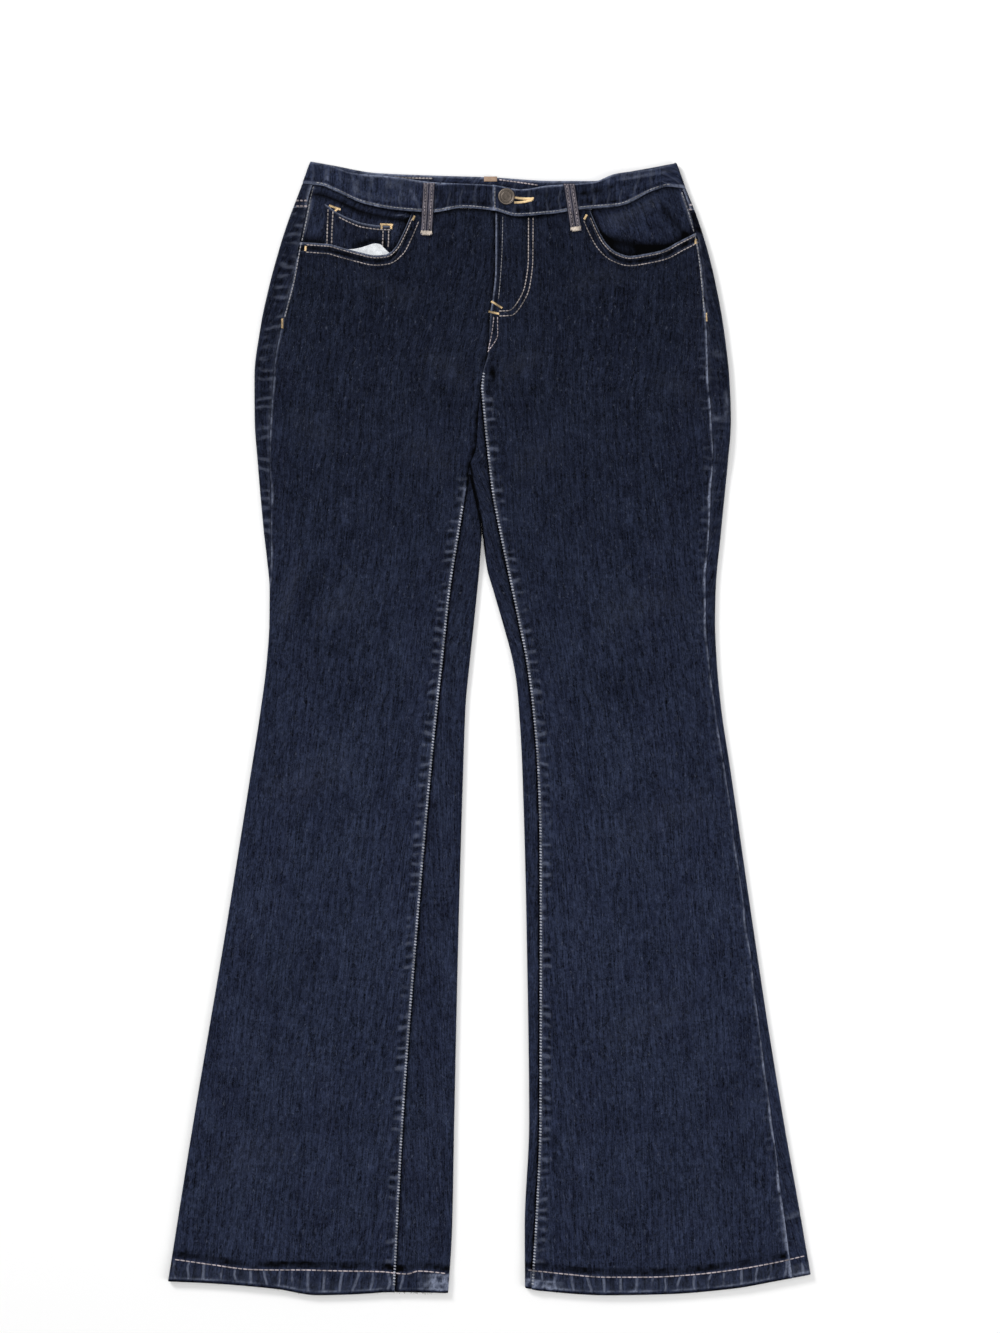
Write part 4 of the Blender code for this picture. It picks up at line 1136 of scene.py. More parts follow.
def make_front_panel(half):
    """A front panel, from the outseam to the fly or the inseam."""
    low, high = leg_rows(FRONT_TOP_LENGTH, FRONT_ROW_STEP)
    pocket_x, first, last = FRONT_COLUMNS[half.side]
    at = np.unique(np.concatenate([np.arange(first, last, MIDDLE_STEP),
                                   pocket_x + np.arange(-6.0, 6.1, 1.2)]))
    seam_440 = half.outseam(440.0) + GAP / 2 + SEAM_STEPS[-1]
    end_440 = half.along(False, half.front_edge(440.0), 440.0) - EDGE_STEPS[-1]
    shares = (half.along(False, at, 440.0) - seam_440) / (end_440 - seam_440)
    shares = np.sort(shares[(shares > 0.012) & (shares < 0.988)])
    rows = np.concatenate([low, 1 + high])[:, None]

    def ring(y):
        seam = half.outseam(y) + GAP / 2
        end = half.along(False, half.front_edge(y), y)
        end = end - np.where(y < LEFT_INSEAM_TOP, GAP / 2, 0.0)
        start = seam + SEAM_STEPS[-1]
        stop = end - EDGE_STEPS[-1]
        middle = start + (stop - start) * np.concatenate(
            [np.zeros(len(SEAM_STEPS)), shares, np.ones(len(EDGE_STEPS))])
        offsets = np.concatenate([SEAM_STEPS - SEAM_STEPS[-1], np.zeros(len(shares)),
                                  EDGE_STEPS[-1] - EDGE_STEPS[::-1]])
        return middle + offsets

    def rows_y(x):
        below = half.hem(x) + (FORK_Y - half.hem(x)) * np.minimum(rows, 1.0)
        above = (panel_top(half, x) - FORK_Y) * np.maximum(rows - 1.0, 0.0)
        return below + above

    columns = len(SEAM_STEPS) + len(shares) + len(EDGE_STEPS)
    guess = np.full((len(rows), columns), half.fold(0.0))
    y = settle(lambda at_y: half.at_fold(False, ring(at_y), at_y, 0.0)[0], rows_y, guess)
    s = ring(y)
    x = half.at_fold(False, s, y, 0.0)[0]
    from_seam = s - s[:, :1]
    lift = front_relief(half, x, y, from_seam)
    faces = half.wall(False, s, y, wall_depths(low, high), lift, under_relief(x, y))
    lay_cloth("front_panel_cloth_%s" % half.label, "front_%s_panel" % half.label,
              faces, front_marks(half, x, y, from_seam), body_denim(),
              across=s - s[:, len(SEAM_STEPS) + len(shares) // 2][:, None])


def broken_up(wear, x, y):
    """Rubbing and painted shade made a little uneven, and kept from fully darkened to wholly rubbed.
    """
    return np.clip(wear * (0.85 + 0.3 * fine_drift(x, y)), -1.0, 1.0)


def hem_wear_and_shade(half, x, y):
    """Rubbed and shaded turned-up hem: pale near its foot, painted shade at its edge and above its
    stitches.
    """
    in_hem = y - half.hem(x)
    above = y - half.hem_stitch(x)
    foot = 0.32 + 0.25 * close_drift(x, 0.0 * y) + 0.12 * fine_drift(x, 0.0 * y)
    wear = 0.04 * plateau(in_hem, 3.0, 13.0, 1.5) + foot * bell(in_hem - 3.4, 1.0)
    # painted shade along the hem's folded edge
    wear = wear - 1.3 * bell(in_hem, 1.6) + 0.30 * bell(above - 1.3, 0.8)
    shadow = plateau(above, 3.0, 6.5, 2.6) * (0.75 + 0.35 * close_drift(x, y))
    wear -= 1.0 * np.clip(shadow, 0.0, 1.0)
    if half.side > 0:
        corner = plateau(x, 34.0, 60.0, 8.0) * (0.55 + 0.35 * fine_drift(x, y))
        wear += np.clip(corner, 0.0, 1.0) * plateau(in_hem, 2.0, 9.0, 2.0)
    return wear


def hem_bars(half, x, y):
    above = y - half.hem_stitch(x)
    return plateau(y - half.hem(x), 3.5, 40.0, 1.5) * (1 - ease(above, -1.5, 0.0))


def seam_shine(half, y):
    """How brightly an outseam is rubbed along its length: in uneven stretches."""
    stretches = 0.62 + 0.34 * close_drift(9.0 * half.side, 1.5 * y) + 0.30 * fine_drift(5.0, 0.8 * y)
    return np.clip(stretches * half.pick(0.62, 1.75), 0.05, 1.6)


def front_marks(half, x, y, from_outseam):
    """Where a front panel is rubbed pale, darkened with painted shade, or gathered: seams, hem,
    pocket, fly.
    """
    from_inner = np.abs(x - half.front_edge(y))
    sewn = half.sewn(y)
    below_fly = 1 - ease(y, 312.0, 330.0)
    from_top = panel_top(half, x) - y
    hip = plateau(y, 120.0, 345.0, 30.0)
    whole = hip if half.side < 0 else 0.35 + 0.65 * np.maximum(hip, 1 - ease(y, -430.0, -250.0))
    raw = INSEAM_PUCKERS[half.side](y, from_inner)
    wear = sewn * (0.42 + 0.16 * raw) * bell(from_inner - 1.0, 1.5)
    swing = 0.8 + 0.7 * close_drift(0.0 * x, 0.7 * y)
    line = bell(from_outseam - swing, 0.85) * seam_shine(half, y)
    upper = half.pick(1.3, 0.8) * ease(y, 330.0, 350.0)
    wear = wear + (0.15 + 0.85 * np.maximum(whole, upper)) * line + hem_wear_and_shade(half, x, y)
    if half.side > 0:
        broad = bell(from_outseam - 1.4, 2.2) * (1 - ease(y, -500.0, -430.0))
        wear += 0.75 * broad
    pocket = beside_opening(half, x)
    # beside the pocket opening: a rubbed pale rim and a pale line, darker between the two rows and
    # just below them
    wear += pocket * 0.58 * bell(from_top - 0.7, 1.1)
    wear += pocket * 0.30 * bell(from_top - 9.4, 1.0)
    wear -= pocket * 0.95 * plateau(from_top, 4.4, 7.2, 1.3)
    wear -= pocket * 0.50 * bell(from_top - 12.0, 1.6)
    # painted shadow under the waistband's foot
    wear -= (1 - pocket) * 0.85 * bell(from_top, 2.4)
    # crease ridges a little paler, rubbed and painted highlight; painted shade in the troughs
    pressed = creases(FRONT_CREASES, x, y)
    wear = wear + 0.10 * np.clip(pressed, 0.0, 0.6) + 0.55 * np.clip(pressed, -0.6, 0.0)
    if half.side > 0:
        # left: rubbed pale fly edge; painted shade in the hollow beside it and in the crotch hollow
        fly_edge = (1 - below_fly) * bell(from_inner - 0.6, 0.9)
        hollow = 0.9 * (1 - below_fly) * bell(from_inner - 3.4, 1.0) * ease(y, 386.0, 394.0)
        fly_edge = fly_edge * (1.05 + 0.3 * fine_drift(0.0, y)) - hollow
        wear = wear + (0.15 + 0.65 * ease(y, 386.0, 394.0)) * fly_edge - 1.3 * crotch_hollow(x, y)
        # a darker line inside the J rows
        wear -= 0.5 * bell(x - 33.0, 1.6) * ease(y, 400.0, 420.0)
    else:
        # right: painted shade along the edge under the lapping fly, and in the tuck along the rise
        wear -= 0.95 * ease(y, 330.0, 345.0) * bell(from_inner, 2.4)
        tuck_shade = bell(from_inner, 1.2 + 1.6 * plateau(y, 244.0, 292.0, 14.0))
        wear -= 1.3 * tuck_shade * plateau(y, 232.0, 325.0, 8.0)
    # gathers beside the seams: ridges rubbed pale and painted highlight, painted shade in their
    # hollows
    by_inseam = sewn * plateau(from_inner, 2.2, 8.5, 3.6)
    by_outseam = half.pick(0.0, 0.4) * whole * plateau(from_outseam, 2.2, 7.0, 3.0)
    wear = broken_up(wear, x, y)
    clear_of_hem = ease(y - half.hem_stitch(x), 5.0, 9.0)
    return {"wear": wear, "seam_bars": (by_inseam + by_outseam) * clear_of_hem,
            "hem_bars": hem_bars(half, x, y)}


def strip_wear_and_shade(half, x, y):
    """Rubbing and painted shade of a back panel's part that shows beside the inseam."""
    distance = np.abs(x - half.front_edge(y))
    # painted shade in the groove at the inseam
    wear = hem_wear_and_shade(half, x, y) - 1.5 * bell(distance, 1.9) - 0.09
    # side creases: paler ridges, rubbed and painted highlight; painted shade in the troughs
    wear += 0.4 * creases(SIDE_CREASES, x, y)
    wear += 0.12 * STRIP_PUCKERS[half.side](y, distance) * plateau(distance, 3.0, 8.0, 2.0)
    # painted shade along the gap at the rise line
    off_rise = half.side * (x - rise_line(y))
    wear -= 1.5 * plateau(off_rise, -1.0, 1.1, 1.0) * plateau(y, 170.0, 300.0, 12.0)
    if half.side < 0:
        patch = ease(x, -70.0, -50.0) * plateau(y - half.hem(x), 3.0, 16.0, 3.0)
        wear += (0.80 + 0.35 * fine_drift(x, y)) * patch
    return wear


def under_wear(x, y, half):
    in_hem = y - half.hem(x)
    wear = 0.12 * plateau(in_hem, 2.0, 11.5, 1.2) + 0.55 * bell(in_hem - 3.0, 1.2)
    return wear + 0.18 * np.clip(creases(BACK_CREASES, x, y), 0.0, 1.0)


def outer_bend(half, y):
    """Ring position just past the outer fold, on the underside."""
    quarter = math.pi * half.fold_radius(half.fold(y), y) / 2
    return np.minimum(-quarter - 1.0, half.outseam(y) - GAP / 2 - 3.0)


SIDE_COLUMNS = 14         # from the outseam round the side fold
STRIP_COLUMNS = 22        # from the inner fold to the inseam
SEAT_STEPS = np.array([18.0, 14.0, 11.0, 8.5, 6.5, 4.5, 3.0, 1.6, 0.8, 0.0])


def side_ring(half, y):
    """Ring positions from the outseam to the bend past the outer fold."""
    seam = half.outseam(y) - GAP / 2
    return seam + (outer_bend(half, y) - seam) * np.linspace(0, 1, SIDE_COLUMNS)


def make_back_panel(half):
    """A back panel: outseam, side fold, underside, inner fold, up to the inseam and the fork."""
    low, high = leg_rows(BACK_TOP_LENGTH, BACK_ROW_STEP)
    rows = np.concatenate([low, 1 + high])[:, None]
    fork_row = len(low) - 1
    tangent = float(half.inner(FORK_Y) + half.side * half.fold_radius(FORK_X, FORK_Y))
    flat_columns = int(215 / UNDER_STEP)
    sizes = (SIDE_COLUMNS, flat_columns, len(SEAT_STEPS) - 1, len(ARC_STEPS) - 1, STRIP_COLUMNS)
    ends = np.cumsum(sizes)
    flat_end, fold_end, total = ends[2:]
    parts = np.split(np.arange(total), ends[:-1])
    inner_side = np.arange(total) >= flat_end

    def under_end(y):
        """Ring position of the underside's end: the inner fold, or the centre-back seam."""
        blend = ease(y, FORK_Y, FORK_Y + FORK_BLEND)
        centre = tangent + (back_centre(y) + half.side * GAP / 2 - tangent) * blend
        inner = half.inner(y)
        bend = inner + half.side * half.fold_radius(inner, y)
        return half.along(False, np.where(y <= FORK_Y, bend, centre), y, top=False)

    def ring(y):
        """Ring position of every column, from the outer fold and then from the inner one."""
        side_y, flat_y, seat_y, turn_y, strip_y = (y[:, part] for part in parts)
        start = outer_bend(half, flat_y)
        stop = under_end(flat_y) + SEAT_STEPS[0]
        flats = start + (stop - start) * np.linspace(0, 1, flat_columns + 1)[1:]
        turn = math.pi * half.fold_radius(half.inner(turn_y), turn_y) / 2 * -ARC_STEPS[1:]
        quarter = math.pi * half.fold_radius(half.inner(strip_y), strip_y) / 2
        strip_end = half.along(True, half.front_edge(strip_y) - half.side * GAP / 2, strip_y)
        strip = quarter + (strip_end - quarter) * np.linspace(0, 1, STRIP_COLUMNS + 1)[1:]
        return np.concatenate([side_ring(half, side_y), flats, under_end(seat_y) + SEAT_STEPS[1:],
                               turn, strip], axis=1)

    x = np.full((len(rows), total), half.fold(0.0) * 0.5)
    on_top = np.zeros(x.shape, bool)
    for _ in range(6):
        top = np.where(on_top, yoke_seam(half.fold(YOKE_SIDE_Y)), yoke_seam(x)) - GAP / 2
        y = half.hem(x) + (FORK_Y - half.hem(x)) * np.minimum(rows, 1.0)
        y = y + (top - FORK_Y) * np.maximum(rows - 1.0, 0.0)
        s = ring(y)
        on_top = (s > 0) & ~inner_side
        x = half.at_fold(inner_side, s, y, 0.0)[0]
    from_seam = s[:, :1] - s
    side_lift = edge_drop(from_seam) + 0.25 * OUTSEAM_PUCKERS[half.side](y, from_seam)
    side_lift = side_lift + creases(SIDE_CREASES, x, y)
    lift = np.where(inner_side, strip_relief(half, x, y), side_lift)
    outer, inner = half.wall(inner_side, s, y, wall_depths(low, high), lift, under_relief(x, y))

    # The tongue beside the left inseam, up to where the front panel's edge covers it
    tongue_top = TONGUE_TOPS[half.side]
    tongue_rows = int((tongue_top - FORK_Y) / BACK_ROW_STEP)
    first = fold_end - 1
    ty = np.linspace(FORK_Y + TONGUE_BLEND, tongue_top, tongue_rows)[:, None]
    line = rise_line(ty)
    if half.side > 0:
        line = np.where(ty > RISE_LINE_TOP, right_front_edge(ty), line)
    start = line + half.side * GAP / 2
    start = tangent + (start - tangent) * ease(ty, FORK_Y, FORK_Y + TONGUE_BLEND)
    end = half.front_edge(ty) - half.side * GAP / 2
    tx = start + (end - start) * np.linspace(0, 1, STRIP_COLUMNS + 1)
    ty = np.broadcast_to(ty, tx.shape)
    sink = 0.5 * bell(np.abs(tx - start), 1.4)
    tz = half.underside(ty) + half.height(tx, ty) + strip_relief(half, tx, ty) - sink
    mask = np.ones((len(rows) - 1, total - 1), bool)
    mask[fork_row:, flat_end - 1:] = False
    tongue = slice(fork_row + 1, fork_row + 1 + tongue_rows)
    outer[tongue, first:] = stack(tx, ty, tz)
    inner[tongue, first:] = stack(tx, ty, tz - CLOTH)
    mask[fork_row:fork_row + tongue_rows, first:] = True

    # side creases on top: paler ridges, rubbed and painted highlight; painted shade in the troughs
    folded = 0.5 * creases(SIDE_CREASES, x, y)
    seam_rub = half.pick(0.5, 0.15) * bell(from_seam - 0.7, 0.9)
    seam_rub = seam_rub * seam_shine(half, y) * ease(y, 100.0, 330.0)
    wear = np.where(inner_side, strip_wear_and_shade(half, outer[..., 0], outer[..., 1]),
                    under_wear(x, y, half) + seam_rub + np.where(s > 0, folded, 0.0))
    wear += bell(s, 1.6) * np.where(inner_side, 0.12, 0.22)
    if half.side > 0:
        wear -= np.where(s > 0, 0.9 * plateau(y, 465.0, 483.0, 3.0), 0.0)
    bars = np.where(inner_side, hem_bars(half, outer[..., 0], outer[..., 1]),
                    plateau(y - half.hem(x), 2.5, 11.5, 1.2))
    # gathers beside the outseam: ridges rubbed pale and painted highlight, painted shade in their
    # hollows
    gathered = plateau(y, 130.0, 480.0, 30.0) * half.pick(0.7, 0.12)
    gathered = gathered * plateau(from_seam, 1.0, 12.0, 4.0) * ease(s, -3.0, 1.0)
    marks = {"wear": broken_up(wear, x, y), "hem_bars": bars,
             "seam_bars": np.where(inner_side, 0.0, gathered)}
    across = run_across(outer)
    middle = SIDE_COLUMNS + flat_columns // 2
    lay_cloth("back_panel_cloth_%s" % half.label, "back_%s_panel" % half.label,
              (outer, inner), marks, body_denim(), mask,
              across - across[:, middle:middle + 1])


YOKE_SIDE_Y = 488.0       # where the yoke's seam meets the side fold
YOKE_DEPTH = 46.0


def make_yoke(half):
    """The yoke, from the outseam round the side fold to the centre-back seam."""
    near = EDGE_STEPS[:6] / YOKE_DEPTH
    share = np.concatenate([near, np.linspace(0.16, 0.84, 12), 1 - near[::-1]])[:, None]
    flats = 42
    y = np.full((len(share), SIDE_COLUMNS + flats), YOKE_SIDE_Y)
    for _ in range(6):
        flat_y = y[:, SIDE_COLUMNS:]
        start = outer_bend(half, flat_y)
        end = half.along(False, back_centre(flat_y) + half.side * GAP / 2, flat_y, top=False)
        flat = start + (end - start) * np.linspace(0, 1, flats + 1)[1:]
        s = np.concatenate([side_ring(half, y[:, :SIDE_COLUMNS]), flat], axis=1)
        x = half.at_fold(False, s, y, 0.0)[0]
        on_top = s > 0
        low = np.where(on_top, yoke_seam(half.fold(YOKE_SIDE_Y)), yoke_seam(x)) + GAP / 2
        high = np.where(on_top, front_band_foot(x), back_band_foot(x)) - BAND_GAP
        y = low + (high - low) * share
    dent = 0.08 * (1 + close_drift(x, y)) - 0.5 * edge_drop(y - low)
    lift = edge_drop(s[:, :1] - s) + edge_drop(y - low)
    wear = 0.5 * bell(y - low, 1.4) + 0.8 * bell(s[:, :1] - s, 1.7)
    wear += 0.2 * bell(s, 1.6)
    lay_cloth("yoke_cloth_%s" % half.label, "yoke_%s" % half.label,
              half.wall(False, s, y, CLOTH, lift, dent), {"wear": wear}, body_denim())


BAND_SHARES = np.concatenate([[0, 0.02, 0.05, 0.09], np.linspace(0.14, 0.86, 10),
                              [0.91, 0.95, 0.98, 1.0]])[:, None]
# gathers over the whole waistband: ridges rubbed pale and painted highlight, painted shade in their
# hollows
BAND_BARS = 0.22
SHADED_AND_UNFADED_BAND = (-50.0, 106.0, 22.0)     # where the front band is darkest, with painted shade and deeper dye: from, to, ramp
RUBBED_BAND = (-112.0, 112.0, 12.0)     # where its top edge is rubbed palest


def band_wear_and_shade(x, y, low, high):
    """Rubbing and painted light of the waistband: rubbed along its foot, its top and its ridges
    (partly painted highlight), and painted shade.
    """
    shine = 0.52 + 0.20 * close_drift(x, 0.0 * y) + 0.10 * fine_drift(x, 0.0 * y)
    top = 0.32 + 0.62 * plateau(x, *RUBBED_BAND)
    wear = top * bell(high - y - 0.5, 1.0) + shine * plateau(y - low, 0.3, 2.2, 0.9)
    # a darker line just above the rubbed foot
    wear -= 0.6 * bell((y - low) - 4.4, 0.9)
    # crease ridges paler, rubbed and painted highlight; painted shade in the troughs
    wear += 0.55 * np.clip(creases(BAND_CREASES, x, y), -1.0, 1.0)
    wear = wear + 0.04 + 0.07 * close_drift(x, 2.0 * y)
    # painted shade, with some deeper dye, over the darkest stretch of the front band
    wear -= 0.52 * plateau(x, *SHADED_AND_UNFADED_BAND) * plateau(y - low, 4.5, 22.0, 3.0)
    return broken_up(wear, x, y)


def make_back_band():
    """The waistband's back: from side seam to side seam, round both side folds."""
    radius = BAND_HEIGHT / 2
    quarter = math.pi * radius / 2
    turns = quarter * ARC_STEPS
    stops = [(RIGHT, "top", x) for x in np.arange(BAND_SEAMS[-1] - GAP / 2, -162.0, -2.4)]
    stops += [(RIGHT, "turn", s) for s in turns]
    stops += [(RIGHT, "under", x) for x in np.arange(-164.0, 0.0, 3.0)]
    stops += [(LEFT, "under", x) for x in np.arange(0.0, 171.0, 3.0)]
    stops += [(LEFT, "turn", s) for s in turns[::-1]]
    stops += [(LEFT, "top", x) for x in np.arange(168.0, BAND_SEAMS[1] + GAP / 2, -2.4)]
    stops += [(LEFT, "top", BAND_SEAMS[1] + GAP / 2)]
    outer_columns = []
    inner_columns = []
    wear_columns = []
    for half, kind, value in stops:
        y = np.full(len(BAND_SHARES), 520.0)
        for _ in range(5):
            x = np.full(len(y), float(value))
            if kind == "turn":
                x = half.fold(y) - half.side * radius * (1 - math.cos(value / radius))
            on_top = kind == "top" or kind == "turn" and value > 0
            low = front_band_foot(x) if on_top else back_band_foot(x)
            high = front_band_top(x) if on_top else back_band_top(x)
            y = low + (high - low) * BAND_SHARES[:, 0]
        relief = band_relief(x, y, low, high, 0.0 if on_top else 150.0)
        for depth, out, columns in ((0.0, relief, outer_columns),
                                    (BAND_CLOTH, 0.0 * relief, inner_columns)):
            if kind == "turn":
                angle = value / radius
                reach = radius - depth + 0.6 * np.minimum(out, 0.3)
                px = half.fold(y) - half.side * (radius - reach * math.cos(angle))
                pz = SEAT_LIFT + radius + reach * math.sin(angle)
            elif kind == "top":
                px = x
                pz = SEAT_LIFT + BAND_HEIGHT - depth + out
            else:
                px = x
                pz = SEAT_LIFT + depth + UNDER_CLEAR - 0.5 * np.minimum(out, 0.4)
            columns.append(stack(px, y, pz))
        wear_columns.append(band_wear_and_shade(x, y, low, high))
    faces = [np.stack(columns, axis=1) for columns in (outer_columns, inner_columns)]
    marks = {"wear": np.stack(wear_columns, axis=1), "hem_bars": BAND_BARS}
    lay_cloth("waistband_cloth_back", "waistband_back", faces, marks, band_denim())


LAP_END = 44.0            # where the right front ends, under the left one
HOLE_SHARES = (0.555, 0.60)         # the buttonhole's foot and top, up the waistband


def make_front_band(half):
    """A front waistband. The left one laps over at the fly and has the buttonhole."""
    side = half.side
    surface = front_band_surface(side)
    if side < 0:
        xs = np.concatenate([[BAND_SEAMS[-1] + GAP / 2], np.arange(-146.4, LAP_END, 2.4),
                             [LAP_END]])
        rows = BAND_SHARES[:, 0]
    else:
        xs = np.concatenate([FLY_END + np.array([0, 0.6, 1.4]), np.arange(6.0, 160.0, 2.0),
                             [BAND_SEAMS[1] - GAP / 2]])
        rows = np.sort(np.concatenate([BAND_SHARES[:, 0], HOLE_SHARES]))
    x = np.broadcast_to(xs, (len(rows), len(xs)))
    low = front_band_foot(x)
    high = front_band_top(x)
    y = low + (high - low) * rows[:, None]
    z = surface(x, y)
    if side > 0:
        z = z + edge_drop(x - FLY_END)
    inner_z = SEAT_LIFT + BAND_HEIGHT + (lap_rise(x) if side > 0 else 0.0) - BAND_CLOTH + 0 * y
    mask = None
    if side > 0:
        mask = np.ones((len(rows) - 1, len(xs) - 1), bool)
        hole_row = int(np.argmin(np.abs(rows - HOLE_SHARES[0])))
        hole = (xs[:-1] > BUTTON_AT[0]) & (xs[1:] < BUTTONHOLE_END)
        mask[hole_row, hole] = False
    wear = band_wear_and_shade(x, y, low, high)
    if side > 0:
        wear += 0.8 * bell(x - FLY_END - 0.6, 1.6)
    faces = stack(x, y, z), stack(x, y, inner_z)
    lay_cloth("waistband_cloth_front_%s" % half.label, "waistband_front_%s" % half.label,
              faces, {"wear": wear, "hem_bars": BAND_BARS}, band_denim(),
              mask)


FACING_UNDER = 25.0       # how far a facing reaches under the opening's edge
COIN_UNDER = 20.0
COIN_SIDES = (-155.0, -93.0)
LINING_SIDES = (-140.0, -92.0)
FACING_INNER = {-1: -74.5, 1: 95.5}
LINING_FOOT = 340.0


def make_facing(half):
    """The denim behind a front pocket opening."""
    share = np.linspace(0, 1, 30)[:, None]
    columns = np.linspace(0, 1, 44)
    y = np.full((30, 44), YOKE_SIDE_Y)
    for _ in range(5):
        radius = half.fold_radius(0, y)
        start = half.fold(y) - half.side * (radius + half.outseam(y) - math.pi * radius / 2 + GAP)
        x = start + (FACING_INNER[half.side] - start) * columns
        low = np.minimum(half.opening(x), 470.0) - FACING_UNDER
        high = front_band_foot(x) - BAND_GAP
        y = low + (high - low) * share
    outer = stack(x, y, facing_surface(x, y))
    inside = np.maximum(y - half.opening(x), 0.0)
    # painted shade inside the pocket, just above the opening's edge
    wear = 0.05 * patch_drift(x, y) - 0.95 * bell(inside, 6.5)
    below_band = high - y
    # painted shadow under the waistband
    wear -= 0.8 * bell(below_band, 3.0)
    if half.side < 0:
        # a pale line, and painted shade of a fold below the band
        fold = bell(below_band - 8.0, 3.0)
        wear = wear + 0.7 * bell(below_band - 3.6, 1.0) - 0.95 * fold
    else:
        # painted shade on the facing above the opening, in a wedge and a slant
        wedge_shade = bell(y - 460.0 + 0.21 * (x - 106.0), 5.5)
        slant = bell(y - 485.0 + 1.2 * (x - 165.0), 5.0)
        wear -= 0.9 * wedge_shade * plateau(x, 104.0, 174.0, 12.0)
        wear -= 0.7 * slant * plateau(x, 163.0, 183.0, 6.0)
    wear += 0.75 * bell(np.abs(x - start) - 1.4, 1.1)
    lay_cloth("pocket_facing_cloth_%s" % half.label, "pocket_facing_%s" % half.label,
              (outer, outer - np.array([0, 0, CLOTH])), {"wear": wear},
              denim("pocket_facing_denim", 0.62))


def make_coin_pocket():
    """The small pocket inside the wearer's right front pocket."""
    x = np.broadcast_to(np.linspace(*COIN_SIDES, 30), (24, 30))
    low = RIGHT.opening(x) - COIN_UNDER
    high = coin_top(x)
    y = low + (high - low) * np.concatenate([np.linspace(0, 0.9, 18),
                                             [0.92, 0.94, 0.96, 0.975, 0.99, 1.0]])[:, None]
    z = coin_surface(x, y) + edge_drop(x - COIN_SIDES[0]) + edge_drop(COIN_SIDES[1] - x)
    outer = stack(x, y, z)
    wear = 0.62 * bell(high - y, 1.3)
    # painted shade of a crease just above the white lining
    lining_crease_shade = bell(y - lining_top(x) - 3.5, 2.6)
    wear -= 0.9 * lining_crease_shade * plateau(x, -124.0, -99.0, 6.0)
    lay_cloth("coin_pocket_cloth", "coin_pocket",
              (outer, stack(x, y, SEAT_LIFT + 2 * LAYER)), {"wear": wear}, body_denim())


def make_lining():
    """The white corner of pocketing that shows above the opening's edge."""
    x = np.broadcast_to(np.linspace(*LINING_SIDES, 26), (40, 26))
    high = lining_top(x) + 0.5 * fine_drift(x * 0.6, 0 * x)
    y = LINING_FOOT + (high - LINING_FOOT) * np.linspace(0, 1, 40)[:, None] ** 0.5
    face = SEAT_LIFT + RIGHT.height(x, y) - LAYER
    rumple = 0.5 * ease(high - y, 8.0, 0.0) * np.clip(fine_drift(x, 0.4 * y), -0.2, 1.0)
    faces = stack(x, y, np.minimum(face + rumple, face + 0.9)), stack(x, y, face - CLOTH)
    lay_cloth("pocket_lining_cloth", "pocket_lining_right", faces, {},
              plain_weave("white_pocketing", (0.78, 0.81, 0.84)))


def pocket_shape(u, v, half):
    """A point of a back pocket: u across from -1 to 1, v from its top to its pointed foot."""
    width, depth = POCKET_SIZE
    foot = smooth(((0.0, 0.99), (0.1, 0.985), (0.8, 0.85), (0.93, 0.81), (1.0, 0.79)))
    along = -v * foot(np.abs(u)) * depth
    across = u * width * (0.5 - 0.055 * np.clip(-along / depth / 0.8, 0.0, 1.0))
    turn = math.radians(POCKET_TILT) * half.side
    x = half.side * POCKET_X + across * math.cos(turn) - along * math.sin(turn)
    return x, POCKET_TOP + across * math.sin(turn) + along * math.cos(turn)


HALF_POCKET = 62.0        # half of a back pocket's width, about halfway down


def pocket_edge_distance(u, v):
    return np.minimum((1 - np.abs(u)) * HALF_POCKET, np.minimum(v, 1 - v) * 125.0)


def pocket_under(u, v):
    """Height of a back pocket's outer face, which lies on the surface under the jeans."""
    distance = pocket_edge_distance(u, v)
    wrinkle = 0.10 * (1 + fine_drift(u * 40, v * 60)) * plateau(distance, 1.0, 9.0, 1.5)
    return UNDER_CLEAR + wrinkle - 0.7 * edge_drop(distance)


def make_back_pocket(half):
    edge = np.array([0, 0.012, 0.03, 0.06, 0.10, 0.15])
    u = np.concatenate([-1 + edge, np.linspace(-0.82, 0.82, 34), (1 - edge)[::-1]])
    v = np.concatenate([edge / 2, np.linspace(0.09, 0.92, 36), 1 - edge[::-1] / 2])
    u, v = np.meshgrid(u, v)
    x, y = pocket_shape(u, v, half)
    distance = pocket_edge_distance(u, v)
    wear = 0.7 * bell(distance, 1.3) + 0.15 * plateau(distance, 1.0, 9.0, 2.0)
    lay_cloth("back_pocket_cloth_%s" % half.label, "back_pocket_%s" % half.label,
              (stack(x, y, pocket_under(u, v)), stack(x, y, CLOTH + 0.1)), {"wear": wear},
              body_denim())


FRONT_LOOPS = {
    -1: ((-57.0, 511.0), (-59.7, 462.5), 11.2),
    1: ((74.2, 510.0), (80.8, 466.5), 10.6),
}
LOOP_CLOTH = 1.4
UNDER_LOOPS = {"side_right": -118.0, "back": 0.0, "side_left": 122.0}


def front_loop_point(half, across, share, depth=0.0):
    """A point of a front belt loop: across -0.5..0.5 of its width, share 0 top to 1 foot."""
    top, foot, width = FRONT_LOOPS[half.side]
    x = top[0] + (foot[0] - top[0]) * share + half.side * width * across
    y = top[1] + (foot[1] - top[1]) * share
    panel = SEAT_LIFT + half.height(x, y)
    band = SEAT_LIFT + BAND_HEIGHT
    edge = front_band_foot(x)
    base = panel + (band - panel) * ease(y - edge, -8.0, -0.8)
    from_side = (0.5 - np.abs(across)) * width
    roll = 0.22 * plateau(from_side, 0.9, 2.6, 0.9) - 0.10 * plateau(from_side, 3.6, 6.5, 0.8)
    puff = roll + 1.2 * edge_drop(from_side) + 0.05 * fine_drift(x * 2, y)
    return stack(x, y, base + GAP + LOOP_CLOTH - depth + (puff if depth == 0.0 else 0.0))


